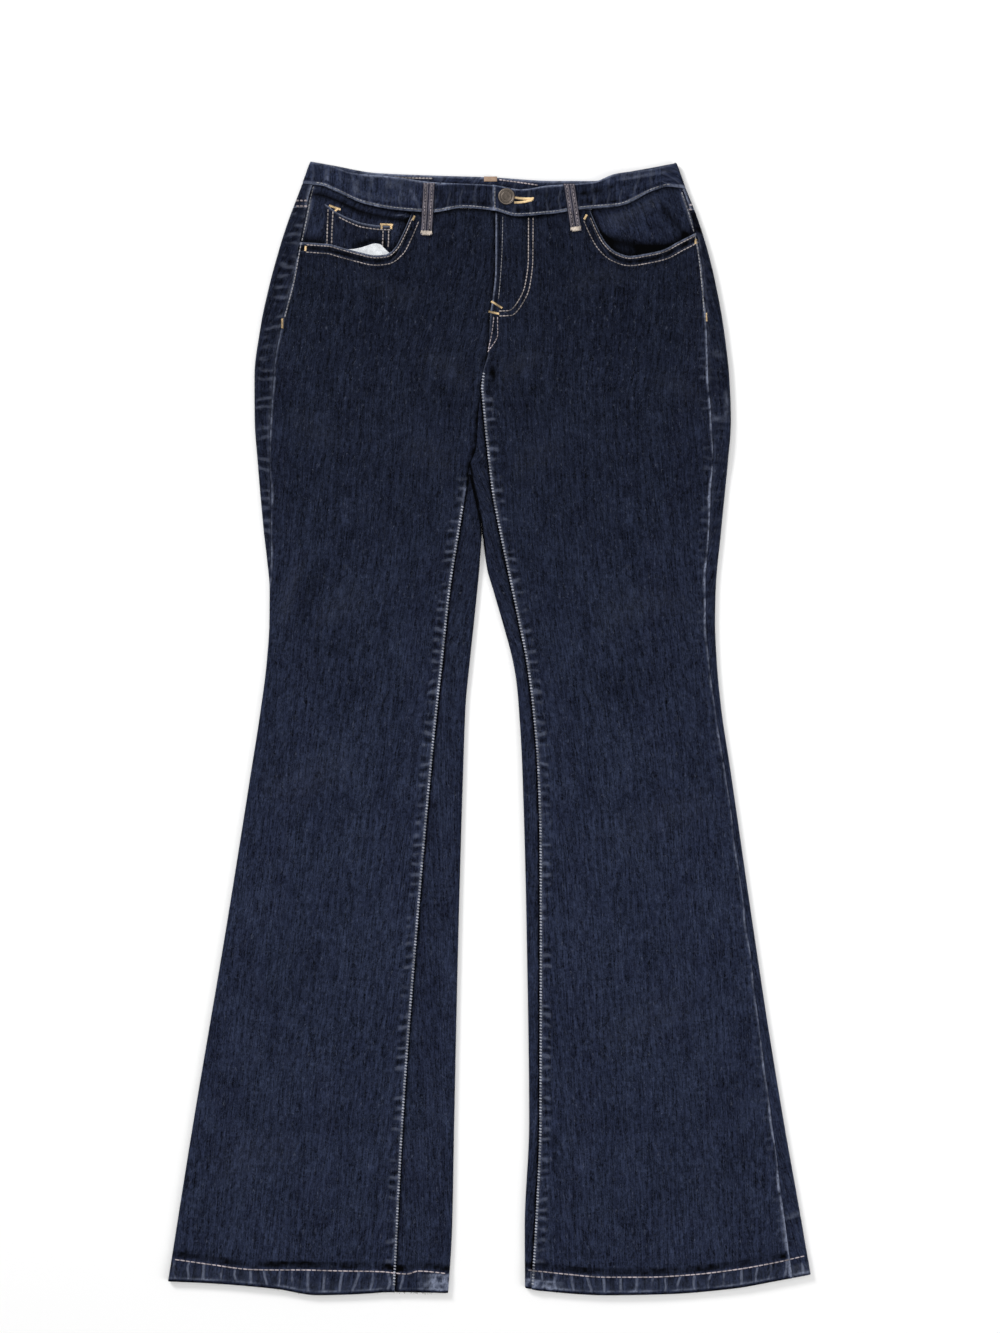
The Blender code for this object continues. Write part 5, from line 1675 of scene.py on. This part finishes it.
LOOP_ACROSS = np.linspace(-0.5, 0.5, 33)
LOOP_ROWS = 42
LOOP_RIDGES = 4


def loop_wear_and_shade(across, share):
    """A belt loop is rubbed along the ridges of its folds, with painted shade between them."""
    ridges = np.cos(math.tau * (LOOP_RIDGES * across + 0.5))
    swing = 1 + 0.35 * fine_drift(60 * across, 22 * share)
    wear = 0.16 + 0.40 * ridges * swing + 0.7 * bell(share, 0.02)
    return np.clip(wear + 0.3 * ease(share, 0.93, 0.99), -0.4, 1)


def make_front_loop(half):
    across, share = np.meshgrid(LOOP_ACROSS, np.linspace(0, 1, LOOP_ROWS))
    faces = [front_loop_point(half, across, share, depth) for depth in (0.0, LOOP_CLOTH)]
    lay_cloth("belt_loop_cloth_front_%s" % half.label, "belt_loop_front_%s" % half.label,
              faces, {"wear": loop_wear_and_shade(across, share)}, loop_denim())


def under_loop_point(x_middle, across, share):
    width, length = LOOP_SIZE
    x = x_middle + across * width
    y = back_band_top(x_middle) - 1.0 - length * share
    from_side = (0.5 - np.abs(across)) * width
    roll = 0.10 * plateau(from_side, 0.9, 2.6, 0.9)
    return stack(x, y, UNDER_CLEAR + 0.12 - roll - 0.8 * edge_drop(from_side))


def make_under_loop(label, x_middle):
    across, share = np.meshgrid(LOOP_ACROSS, np.linspace(0, 1, LOOP_ROWS))
    outer = under_loop_point(x_middle, across, share)
    lay_cloth("belt_loop_cloth_%s" % label, "belt_loop_%s" % label,
              (outer, outer * [1, 1, 0] + [0, 0, CLOTH + 0.1]),
              {"wear": loop_wear_and_shade(across, share)}, loop_denim())


# ---------------- sewing

PATH_STEP = 1.5                    # between the points of a row's path
FINE_THREAD = 0.26
HEM_STITCH = (4.9, 4.8, 0.58)      # pitch, length and radius of a hem stitch
HEM_ROW_UNDER = 13.0               # height of its row over the edge, underneath
HEM_ROW_AT = -512.0                # where it passes the inner fold
INSEAM_ROW_FOOT = -524.0
BEADS = (2.4, 0.70, 0.05)          # length, radius and lift of an inseam's beads
BEAD_PITCH = 2.85
INSEAM_TOPS = {-1: 209.0, 1: 334.0}
OUTSEAM_ROW_ENDS = {-1: 384.0, 1: 389.0}
OPENING_ENDS = {-1: (-172.0, -74.5), 1: (96.4, 192.0)}
OPENING_ROWS = (2.4, 9.2)          # from the edge of the opening
THREADS = (
    # setting, mesh, material
    ("tan", "topstitching_tan", "tan_thread"),
    ("hem", "hem_stitching", "hem_thread"),
    ("pale", "topstitching_pale", "pale_thread"),
    ("beads", "inseam_beads", "inseam_thread"),
)


def sew(used, xs, ys, surface, down=False, thick=None):
    """A stitch row along x, y points on a surface. Its thread's radius is thick, in mm."""
    settings = bpy.context.scene.jeans_thread
    points, normals = on_surface(np.asarray(xs, float), np.asarray(ys, float), surface, down)
    used.row(points, normals, settings.pitch / MM, settings.length / MM,
             thick or settings.radius / MM)


def sew_flat(used, points, up, lift=0.0):
    """A fine stitch row through points of a face that looks straight up or down."""
    settings = bpy.context.scene.jeans_thread
    used.row(points, np.tile([0.0, 0.0, up], (len(points), 1)), settings.pitch / MM,
             settings.length / MM, FINE_THREAD, lift)


def sew_hem(used, half):
    """The hem's stitch row over the top of the leg, round both folds and underneath."""
    edge = half.front_edge(HEM_ROW_AT)
    fold = half.fold(HEM_ROW_AT + 12.0)
    inner = half.inner(HEM_ROW_AT)
    for first, last, count, row, surface, down in (
            (fold - half.side * 3.5, edge, 160, half.hem_stitch, panel_surface(half), False),
            (edge, inner + half.side * 3.5, 60, half.hem_stitch, strip_surface(half), False),
            (inner + half.side * 4.0, fold - half.side * 4.0, 160,
             lambda x: half.hem(x) + HEM_ROW_UNDER, under_surface(half), True)):
        xs = np.linspace(first, last, count)
        points, normals = on_surface(xs, row(xs), surface, down)
        used.row(points, normals, *HEM_STITCH)


def sew_inseam(used, half):
    """A close pale row on the very edge of the front panel."""
    ys = np.arange(INSEAM_TOPS[half.side], INSEAM_ROW_FOOT, -PATH_STEP)
    xs = half.front_edge(ys) + half.side * 0.95
    points, normals = on_surface(xs, ys, panel_surface(half))
    centres, directions, ups = resample(points, normals, BEAD_PITCH)
    used.add(centres, unit(np.cross(ups, directions) + 0.25 * directions), ups, *BEADS)


def sew_outseam(used, half):
    """A row down to the tack, just inside the seam, on the facing and then on the panel."""
    ys = np.arange(front_band_foot(half.fold(500.0)) - 3.0, OUTSEAM_ROW_ENDS[half.side],
                   -PATH_STEP)
    radius = half.fold_radius(half.fold(ys), ys)
    seam_x = half.fold(ys) - half.side * (radius + half.outseam(ys) - math.pi * radius / 2)
    below = ys < half.opening(seam_x)
    for part, surface in ((below, panel_surface(half)), (~below, facing_surface)):
        if part.sum() > 3:
            sew(used, seam_x[part] - half.side * 1.9, ys[part], surface, thick=0.5)


def sew_opening(used, half):
    """Two rows beside a front pocket's opening."""
    xs = np.arange(*OPENING_ENDS[half.side], 0.8)
    ys = half.opening(xs)
    slope = np.gradient(ys, xs)
    size = np.hypot(slope, 1.0)
    for offset in OPENING_ROWS:
        px = xs + offset * slope / size
        py = ys - offset / size
        keep = (py < front_band_foot(px) - 1.5) & (half.side * px < half.side * half.fold(py) - 4.0)
        sew(used, px[keep], py[keep], panel_surface(half), thick=0.48)


def sew_lines(used):
    """The rows that follow lines of their own: fly, coin pocket and inside the waistband."""
    fly = panel_surface(LEFT)
    inside = level(SEAT_LIFT + UNDER_CLEAR + BAND_CLOTH + 0.4)
    for colour, thick, surface, tables in (
            ("pale", 0.3, fly, (FLY_EDGE_STITCH,)),
            ("tan", 0.5, fly, J_STITCHES),
            ("hem", 0.42, fly, CROTCH_STITCHES),
            ("tan", 0.6, coin_surface, COIN_STITCHES),
            ("tan", 0.62, inside, INSIDE_STITCHES[:1]),
            ("hem", 0.62, inside, INSIDE_STITCHES[1:])):
        for table in tables:
            sew(used[colour], *line_points(table), surface, thick=thick)


def sew_waistband(used):
    """Rows along the waistband's foot and top, and up its lapping end."""
    for side, first, last in ((-1, -146.0, 1.0), (1, 4.2, 159.0)):
        xs = np.arange(first, last, PATH_STEP)
        sew(used, xs, front_band_foot(xs) + 1.9, front_band_surface(side))
    ys = np.linspace(front_band_foot(4.2) + 2.0, front_band_top(4.2) - 2.2, 18)
    sew(used, np.full(18, 4.6), ys, front_band_surface(1), thick=0.3)
    xs = np.arange(-165.0, 171.0, PATH_STEP)
    sew(used, xs, back_band_foot(xs) + 1.9, back_band_under, down=True)
    sew(used, xs, back_band_top(xs) - 2.1, back_band_under, down=True)
    for ends in ((-149.0, -163.0), (162.0, 169.0)):
        xs = np.linspace(*ends, 12)
        sew(used, xs, front_band_foot(xs) + 1.9, front_band_surface(-1))


def sew_yokes(used):
    """Double rows along the yoke and seat seams, and the ends that wrap onto the top."""
    flat = level(SEAT_LIFT + 0.1)
    for half in HALVES:
        xs = np.arange(5.0, 160.0, PATH_STEP) * half.side
        for offset in (2.4, 8.2):
            sew(used["tan"], xs, yoke_seam(xs) + offset, flat, down=True)
    for offset in (2.0, 8.0):
        for first, last, surface in ((424.0, 206.0, under_surface(LEFT)), (484.0, 434.0, flat)):
            ys = np.arange(first, last, -PATH_STEP)
            sew(used["tan"], back_centre(ys) + offset, ys, surface, down=True)
    for half, ends, rises in ((RIGHT, (-182.0, -171.0), (1.4, 6.6)),
                              (LEFT, (185.0, 190.6), (0.6, 4.8))):
        xs = np.linspace(*ends, 8)
        for rise in rises:
            sew(used["hem"], xs, yoke_seam(half.fold(YOKE_SIDE_Y)) + rise + 0 * xs,
                back_top_surface(half), thick=0.85)


def sew_loops(used):
    """Two rows down each belt loop."""
    for half in HALVES:
        for across in (-0.25, 0.25):
            points = front_loop_point(half, np.full(30, across), np.linspace(0.03, 0.9, 30))
            sew_flat(used["hem"], points, 1.0)
    for x_middle in UNDER_LOOPS.values():
        for across in (-0.27, 0.27):
            points = under_loop_point(x_middle, across, np.linspace(0.03, 0.95, 30))
            sew_flat(used["tan"], points, -1.0, -0.1)


def sew_back_pocket(used, half):
    """Two rows round the edge of a back pocket and two along its top."""
    paths = []
    for inset in (2.2, 8.2):
        u_in = 1 - inset / HALF_POCKET
        v_in = 1 - inset / 135.0
        paths.append([(-u_in, v) for v in np.linspace(0.012, v_in, 40)]
                     + [(u, v_in) for u in np.linspace(-u_in, u_in, 40)]
                     + [(u_in, v) for v in np.linspace(v_in, 0.012, 40)])
    for v_top in (0.018, 0.085):
        paths.append([(u, v_top) for u in np.linspace(-0.97, 0.97, 60)])
    for path in paths:
        u, v = np.array(path).T
        sew_flat(used, stack(*pocket_shape(u, v, half), pocket_under(u, v)), -1.0, -0.1)


def sew_rows():
    """Every stitch row, gathered by the colour of its thread."""
    settings = bpy.context.scene.jeans_thread
    used = {row[0]: Thread() for row in THREADS}
    for half in HALVES:
        sew_hem(used["hem"], half)
        sew_inseam(used["beads"], half)
        sew_outseam(used["pale"], half)
        sew_opening(used["tan"], half)
    sew_lines(used)
    sew_waistband(used["pale"])
    sew_yokes(used)
    sew_loops(used)
    for half in HALVES:
        sew_back_pocket(used["tan"], half)
    for colour, name, material in THREADS:
        used[colour].make(name, thread(material, tuple(getattr(settings, colour))))


def back_top_surface(half):
    """Where a back piece shows on top, between the outseam and the side fold."""
    def surface(x, y):
        edge = half.fold(y)
        radius = half.fold_radius(edge, y)
        reach = np.clip(radius - np.abs(x - edge), 0.0, radius)
        return half.underside(y) + radius + np.sqrt(radius ** 2 - reach ** 2)
    return surface


TACK_PITCH = 0.62
UNDER_TACK = 0.36                  # height of the tacks underneath


def bar_of_stitches(used, x, y, length, turn, surface, down=False, radius=0.36, width=2.3):
    """A bartack: close stitches side by side across a short bar."""
    turn = math.radians(turn)
    along = np.array([math.cos(turn), math.sin(turn)])
    count = max(int(length / TACK_PITCH), 3)
    steps = (np.arange(count) + 0.5) / count - 0.5
    points, normals = on_surface(x + along[0] * length * steps, y + along[1] * length * steps,
                                 surface, down)
    lean = np.where(np.arange(count) % 2 == 0, 0.22, -0.22)
    directions = stack(-along[1] + along[0] * lean, along[0] + along[1] * lean, 0.0)
    used.add(points, unit(directions), normals, width, radius, 0.12)


def sew_bartacks():
    settings = bpy.context.scene.jeans_thread
    gold = Thread()
    cream = Thread()
    surfaces = {"facing": facing_surface, "coin": coin_surface}
    for x, y, length, turn, name in BARTACKS:
        surface = surfaces.get(name) or panel_surface(RIGHT if x < 0 else LEFT)
        bar_of_stitches(gold, x, y, length, turn, surface)
    for half in HALVES:
        top, foot, width = FRONT_LOOPS[half.side]
        lean = math.degrees(math.atan2(foot[0] - top[0], top[1] - foot[1]))
        for share, inset, size in ((0.95, 0.8, 3.4), (0.985, 4.0, 2.8)):
            x = top[0] + (foot[0] - top[0]) * share
            y = top[1] + (foot[1] - top[1]) * share
            face = float(front_loop_point(half, np.array([0.0]), np.array([share]))[0, 2])
            bar_of_stitches(cream, x, y, width - inset, lean, level(face + 0.1), width=size)
    for x_middle in UNDER_LOOPS.values():
        for share in (0.03, 0.97):
            y = float(back_band_top(x_middle)) - 1.0 - LOOP_SIZE[1] * share
            bar_of_stitches(gold, x_middle, y, 10.5, 0.0, level(UNDER_TACK), True, 0.28)
    for half in HALVES:
        for u in (-0.93, 0.93):
            x, y = pocket_shape(u, 0.03, half)
            bar_of_stitches(gold, float(x), float(y), 8.0, 90.0, level(UNDER_TACK), True, 0.28)
    gold.make("bartacks", thread("gold_thread", tuple(settings.gold)))
    cream.make("loop_bartacks", thread("cream_thread", tuple(settings.cream)))


BUTTONHOLE_FROM = 23.0
BUTTONHOLE_TO = 39.6
BUTTONHOLE_SHARE = 0.578           # of the way up the waistband


def sew_buttonhole():
    """Close buttonhole stitches round the slot, from the button out to its end."""
    settings = bpy.context.scene.jeans_thread
    worked = Thread()
    surface = front_band_surface(1)
    xs = np.arange(BUTTONHOLE_FROM, BUTTONHOLE_TO, TACK_PITCH)
    for side in (-1, 1):
        low, high = front_band_foot(xs), front_band_top(xs)
        middle = low + (high - low) * BUTTONHOLE_SHARE
        spread = 0.7 + 1.7 * (1 - (xs - BUTTONHOLE_FROM) / (BUTTONHOLE_TO - BUTTONHOLE_FROM))
        points, normals = on_surface(xs, middle + side * spread, surface)
        directions = unit(stack(0.12 * side + 0 * xs, 1.0, 0.0))
        worked.add(points, directions, normals, 2.4, 0.38, 0.14)
    low, high = front_band_foot(BUTTONHOLE_TO), front_band_top(BUTTONHOLE_TO)
    end = float(low * 0.422 + high * BUTTONHOLE_SHARE)
    bar_of_stitches(worked, BUTTONHOLE_TO + 0.4, end + 0.6, 2.6, 70.0, surface)
    worked.make("buttonhole_stitching", thread("buttonhole_thread", tuple(settings.buttonhole)))


# The button's face from its rim inwards: how far in, height over the foot of the cap
BUTTON_FACE = ((0.9, 0.0), (0.25, 0.2), (0.0, 0.55), (0.08, 1.0), (0.4, 1.35), (0.9, 1.5),
               (1.5, 1.42), (1.9, 1.12), (2.3, 1.0), (2.9, 1.05), (3.2, 1.28), (3.6, 1.34),
               (4.0, 1.25), (4.4, 1.06))


def make_button():
    """A stamped metal button: domed rim, hollow face with a plain raised ring and beads."""
    x, y = BUTTON_AT
    top = SEAT_LIFT + BAND_HEIGHT + LAP_RISE
    foot = SEAT_LIFT + BAND_HEIGHT + GAP
    cap = top + GAP
    r = BUTTON_RADIUS
    profile = [(0.0, foot), (2.2, foot), (2.2, cap + 0.1)]
    profile += [(r - inset, cap + rise) for inset, rise in BUTTON_FACE]
    profile += [(2.0, cap + 1.12), (1.0, cap + 1.3), (0.0, cap + 1.36)]
    segments = 72
    turn = np.linspace(0, math.tau, segments, endpoint=False)
    radii = np.array([p[0] for p in profile[1:-1]])
    heights = np.array([p[1] for p in profile[1:-1]])
    ring_x = x + radii[:, None] * np.cos(turn)
    ring_y = y + radii[:, None] * np.sin(turn)
    beads = 0.10 * np.clip(np.cos(turn * 24), 0, 1)
    lift = np.where(np.abs(radii - (r - 2.9)) < 0.3, 1.0, 0.0)[:, None] * beads
    points = stack(ring_x, ring_y, heights[:, None] + lift).reshape(-1, 3)
    points = np.concatenate([points, [[x, y, profile[0][1]], [x, y, profile[-1][1]]]])
    steps = [(j, (j + 1) % segments) for j in range(segments)]
    tip = len(radii) * segments
    faces = [(low + j, low + after, low + segments + after, low + segments + j)
             for low in range(0, tip - segments, segments) for j, after in steps]
    for j, after in steps:
        faces += [(tip, after, j), (tip + 1, tip - segments + j, tip - segments + after)]
    mesh = bpy.data.meshes.new("stamped_button")
    mesh.from_pydata((points * MM).tolist(), [], faces)
    mesh.shade_smooth()
    mesh.set_sharp_from_angle(angle=math.radians(60))
    rubbed = np.concatenate([np.repeat(bell(radii - (r - 0.7), 0.7)
                                       + 0.5 * bell(radii - (r - 3.5), 0.4),
                                       segments), [0.0, 0.2]])
    rubbed[:segments * 3] = 0.0
    attribute = mesh.attributes.new("wear", "FLOAT", "POINT")
    attribute.data.foreach_set("value", rubbed)
    mesh.materials.append(bronze("dull_bronze", tuple(bpy.context.scene.jeans_metal.bronze)))
    thing = new_object("stamped_button", mesh)
    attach(thing, "root")
    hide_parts("button")


def make_zip_and_tab():
    """The hidden zip keeps its solid, and the plain tab inside the waistband is woven."""
    tape = plain_weave("zip_tape_weave", (0.015, 0.018, 0.030), 900.0, 0.7)
    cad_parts["zip"].material_slots[0].material = tape
    low = SEAT_LIFT + BAND_CLOTH + GAP
    across, along = np.meshgrid(np.linspace(0, 1, 14), np.linspace(0, 1, 9))
    width, height = TAB_SIZE
    x = TAB_CORNER[0] + width * across
    y = TAB_CORNER[1] + height * along
    side = np.minimum(np.minimum(across, 1 - across) * width, np.minimum(along, 1 - along) * height)
    z = low + CLOTH + 0.12 * np.sin(across * 9.0) + edge_drop(side)
    lay_cloth("woven_tab", "waist_tab", (stack(x, y, z), stack(x, y, low + 0.02)), {},
              plain_weave("tan_tab_weave", (0.36, 0.25, 0.18), 1100.0, 0.75))


def make_frayed_threads():
    """White weft ends hanging from the rubbed hems."""
    chance = np.random.default_rng(5)
    loose = Thread()
    xs = np.concatenate([chance.uniform(-100.0, -54.0, 70), chance.uniform(-290.0, -60.0, 16),
                         chance.uniform(45.0, 280.0, 14)])
    centres = []
    directions = []
    for x in xs:
        half = RIGHT if x < 0 else LEFT
        y = float(half.hem(x)) + chance.uniform(-0.6, 1.6)
        centres.append((x, y, chance.uniform(0.5, 4.6)))
        turn = chance.uniform(-1.3, 1.3)
        directions.append((math.sin(turn), -math.cos(turn), chance.uniform(-0.2, 0.2)))
    directions = unit(np.array(directions))
    ups = square_to(directions, np.tile([0.0, 0.0, 1.0], (len(xs), 1)))
    loose.add(np.array(centres), directions, ups, 3.6, FINE_THREAD)
    loose.make("frayed_hem_ends", thread("white_weft", (0.62, 0.62, 0.60)))


# ---------------- stage

PIXEL = 0.94                        # millimetres in the photo
PHOTO_HEIGHT = 1333                 # pixels
SENSOR = 36.0
CAMERA_OVER = (0.0094, 0.0578)
FLOOR_DROP = 0.0004
SOFTBOXES = (
    # name, place, size, power
    ("overhead_softbox", (0.0, 0.1, 2.9), 2.6, 30.0),
    ("upper_left_softbox", (-2.1, 2.3, 1.9), 0.9, 92.0),
    ("right_fill", (2.4, -1.2, 1.8), 1.6, 34.0),
)


def make_softbox(name, place, size, power):
    """A square lamp that looks at the middle of the jeans."""
    data = bpy.data.lights.new(name, "AREA")
    data.shape = "SQUARE"
    data.size = size
    data.energy = power
    lamp = new_object(name, data)
    lamp.location = place
    east, north, up = place
    lamp.rotation_euler = (math.atan2(math.hypot(east, north), up), 0.0,
                           math.atan2(north, east) + math.pi / 2)


def make_stage():
    settings = bpy.context.scene.jeans_stage
    size = settings.floor_size
    mesh = bpy.data.meshes.new("studio_floor")
    mesh.from_pydata([(-size, -size, -FLOOR_DROP), (size, -size, -FLOOR_DROP),
                      (size, size, -FLOOR_DROP), (-size, size, -FLOOR_DROP)], [], [(0, 1, 2, 3)])
    material, tree, shader = new_material("floor_paper", 0.9, 0.1)
    base = tuple(settings.floor)
    paper = mix_colour(solid_noise(object_place(tree), 3.0), base, scaled(base, 0.985))
    feed(paper, shader.inputs["Base Color"])
    mesh.materials.append(material)
    floor = new_object("studio_floor", mesh)
    for name, place, width, power in SOFTBOXES:
        make_softbox(name, place, width, power * settings.light_power)
    world = bpy.data.worlds.new("pale_room")
    world.use_nodes = True
    background = world.node_tree.nodes["Background"]
    background.inputs["Color"].default_value = (1.0, 1.0, 1.0, 1.0)
    background.inputs["Strength"].default_value = settings.room_light
    bpy.context.scene.world = world
    bpy.context.scene.view_settings.view_transform = "Standard"
    data = bpy.data.cameras.new("overhead_camera")
    data.sensor_width = SENSOR
    data.sensor_fit = "AUTO"
    data.lens = SENSOR * settings.camera_height / (PHOTO_HEIGHT * PIXEL * MM)
    camera = new_object("overhead_camera", data)
    camera.location = (*CAMERA_OVER, settings.camera_height)
    bpy.context.scene.camera = camera


# ---------------- settings

def colour_setting(name, description, default):
    return bpy.props.FloatVectorProperty(name=name, description=description, default=default,
                                         subtype="COLOR", size=3, min=0.0, max=1.0)


def length_setting(name, description, millimetres):
    return bpy.props.FloatProperty(name=name, description=description, default=millimetres * MM,
                                   subtype="DISTANCE", unit="LENGTH", min=0.0, precision=5)


def strength_setting(name, description, default):
    return bpy.props.FloatProperty(name=name, description=description, default=default,
                                   subtype="FACTOR", min=0.0)


class JeansCloth(bpy.types.PropertyGroup):
    indigo: colour_setting("Indigo", "Colour of the dyed denim", (0.0125, 0.0165, 0.034))
    faded: colour_setting("Faded", "Colour of denim rubbed pale", (0.18, 0.205, 0.285))
    pucker_height: length_setting("Pucker height", "Height of the puckers beside a seam", 0.75)
    seam_ridge: length_setting("Seam ridge", "Height of the pressed seam allowance", 0.55)


class JeansThread(bpy.types.PropertyGroup):
    tan: colour_setting("Tan thread", "Colour of the topstitching", (0.30, 0.268, 0.262))
    pale: colour_setting("Pale thread", "Colour of fly and waistband rows", (0.245, 0.245, 0.265))
    hem: colour_setting("Hem thread", "Colour of the hem rows", (0.42, 0.365, 0.385))
    beads: colour_setting("Inseam thread", "Colour of the inseam's edge", (0.33, 0.345, 0.395))
    gold: colour_setting("Gold thread", "Colour of the bartacks", (0.70, 0.51, 0.28))
    cream: colour_setting("Cream thread", "Colour of the loops' foot tacks", (0.62, 0.54, 0.46))
    buttonhole: colour_setting("Buttonhole thread", "Colour of the buttonhole", (0.74, 0.55, 0.31))
    pitch: length_setting("Stitch pitch", "Distance from one stitch to the next", 3.2)
    length: length_setting("Stitch length", "Length of thread that shows", 3.0)
    radius: length_setting("Thread radius", "Half the thread's thickness", 0.42)


class JeansMetal(bpy.types.PropertyGroup):
    bronze: colour_setting("Bronze", "Colour of the button", (0.12, 0.10, 0.085))


class JeansStage(bpy.types.PropertyGroup):
    floor: colour_setting("Floor", "Colour of the floor", (0.93, 0.93, 0.93))
    floor_size: length_setting("Floor size", "Half width of the floor", 8000.0)
    camera_height: length_setting("Camera height", "Camera above the floor", 2400.0)
    light_power: strength_setting("Light power", "Strength of all the lamps", 1.0)
    room_light: strength_setting("Room light", "Strength of the light from the pale room", 0.36)


# ---------------- operators

class JEANS_OT_front_panels(bpy.types.Operator):
    """Makes both front panels with their seam ridges, puckers and hems"""
    bl_idname = "jeans.front_panels"
    bl_label = "Front panels"

    def execute(self, context):
        for half in HALVES:
            make_front_panel(half)
        return {"FINISHED"}


class JEANS_OT_back_panels(bpy.types.Operator):
    """Makes both back panels, wrapped round the folds of the legs"""
    bl_idname = "jeans.back_panels"
    bl_label = "Back panels"

    def execute(self, context):
        for half in HALVES:
            make_back_panel(half)
        return {"FINISHED"}


class JEANS_OT_yokes(bpy.types.Operator):
    """Makes both halves of the back yoke"""
    bl_idname = "jeans.yokes"
    bl_label = "Yokes"

    def execute(self, context):
        for half in HALVES:
            make_yoke(half)
        return {"FINISHED"}


class JEANS_OT_waistband(bpy.types.Operator):
    """Makes the waistband's back and its two lapping fronts"""
    bl_idname = "jeans.waistband"
    bl_label = "Waistband"

    def execute(self, context):
        make_back_band()
        for half in HALVES:
            make_front_band(half)
        return {"FINISHED"}


class JEANS_OT_front_pockets(bpy.types.Operator):
    """Makes the pocket facings, the coin pocket and the white pocketing"""
    bl_idname = "jeans.front_pockets"
    bl_label = "Front pockets"

    def execute(self, context):
        for half in HALVES:
            make_facing(half)
        make_coin_pocket()
        make_lining()
        return {"FINISHED"}


class JEANS_OT_back_pockets(bpy.types.Operator):
    """Makes both back pockets"""
    bl_idname = "jeans.back_pockets"
    bl_label = "Back pockets"

    def execute(self, context):
        for half in HALVES:
            make_back_pocket(half)
        return {"FINISHED"}


class JEANS_OT_belt_loops(bpy.types.Operator):
    """Makes the five belt loops"""
    bl_idname = "jeans.belt_loops"
    bl_label = "Belt loops"

    def execute(self, context):
        for half in HALVES:
            make_front_loop(half)
        for label, x_middle in UNDER_LOOPS.items():
            make_under_loop(label, x_middle)
        return {"FINISHED"}


class JEANS_OT_topstitching(bpy.types.Operator):
    """Sews every visible stitch row"""
    bl_idname = "jeans.topstitching"
    bl_label = "Topstitching"

    def execute(self, context):
        sew_rows()
        return {"FINISHED"}


class JEANS_OT_bartacks(bpy.types.Operator):
    """Sews the bartacks and the buttonhole"""
    bl_idname = "jeans.bartacks"
    bl_label = "Bartacks and buttonhole"

    def execute(self, context):
        sew_bartacks()
        sew_buttonhole()
        return {"FINISHED"}


class JEANS_OT_button(bpy.types.Operator):
    """Makes the button, finishes the zip and weaves the plain tab"""
    bl_idname = "jeans.button"
    bl_label = "Button, zip and tab"

    def execute(self, context):
        make_button()
        make_zip_and_tab()
        return {"FINISHED"}


class JEANS_OT_frayed_threads(bpy.types.Operator):
    """Adds the frayed white ends along the hems"""
    bl_idname = "jeans.frayed_threads"
    bl_label = "Frayed threads"

    def execute(self, context):
        make_frayed_threads()
        return {"FINISHED"}


class JEANS_OT_stage(bpy.types.Operator):
    """Sets up the pale floor, the soft light and the overhead camera"""
    bl_idname = "jeans.stage"
    bl_label = "Stage"

    def execute(self, context):
        make_stage()
        return {"FINISHED"}


OPERATORS = (
    JEANS_OT_front_panels,
    JEANS_OT_back_panels,
    JEANS_OT_yokes,
    JEANS_OT_waistband,
    JEANS_OT_front_pockets,
    JEANS_OT_back_pockets,
    JEANS_OT_belt_loops,
    JEANS_OT_topstitching,
    JEANS_OT_bartacks,
    JEANS_OT_button,
    JEANS_OT_frayed_threads,
    JEANS_OT_stage,
)
SETTINGS = (
    ("jeans_cloth", JeansCloth),
    ("jeans_thread", JeansThread),
    ("jeans_metal", JeansMetal),
    ("jeans_stage", JeansStage),
)


class JEANS_PT_dressing(bpy.types.Panel):
    """Lists the pieces of the jeans and their settings"""
    bl_idname = "JEANS_PT_dressing"
    bl_label = "Bootcut jeans"
    bl_space_type = "VIEW_3D"
    bl_region_type = "UI"
    bl_category = "Jeans"

    def draw(self, context):
        for name, group in SETTINGS:
            box = self.layout.box()
            for key in group.__annotations__:
                box.prop(getattr(context.scene, name), key)
        for operator in OPERATORS:
            self.layout.operator(operator.bl_idname)


def register():
    for name, group in SETTINGS:
        bpy.utils.register_class(group)
        setattr(bpy.types.Scene, name, bpy.props.PointerProperty(type=group))
    for operator in OPERATORS:
        bpy.utils.register_class(operator)
    bpy.utils.register_class(JEANS_PT_dressing)


def unregister():
    bpy.utils.unregister_class(JEANS_PT_dressing)
    for operator in reversed(OPERATORS):
        bpy.utils.unregister_class(operator)
    for name, group in reversed(SETTINGS):
        delattr(bpy.types.Scene, name)
        bpy.utils.unregister_class(group)


def main():
    register()
    bpy.ops.jeans.front_panels()
    bpy.ops.jeans.back_panels()
    bpy.ops.jeans.yokes()
    bpy.ops.jeans.waistband()
    bpy.ops.jeans.front_pockets()
    bpy.ops.jeans.back_pockets()
    bpy.ops.jeans.belt_loops()
    bpy.ops.jeans.topstitching()
    bpy.ops.jeans.bartacks()
    bpy.ops.jeans.button()
    bpy.ops.jeans.frayed_threads()
    bpy.ops.jeans.stage()


if __name__ == "__main__":
    main()
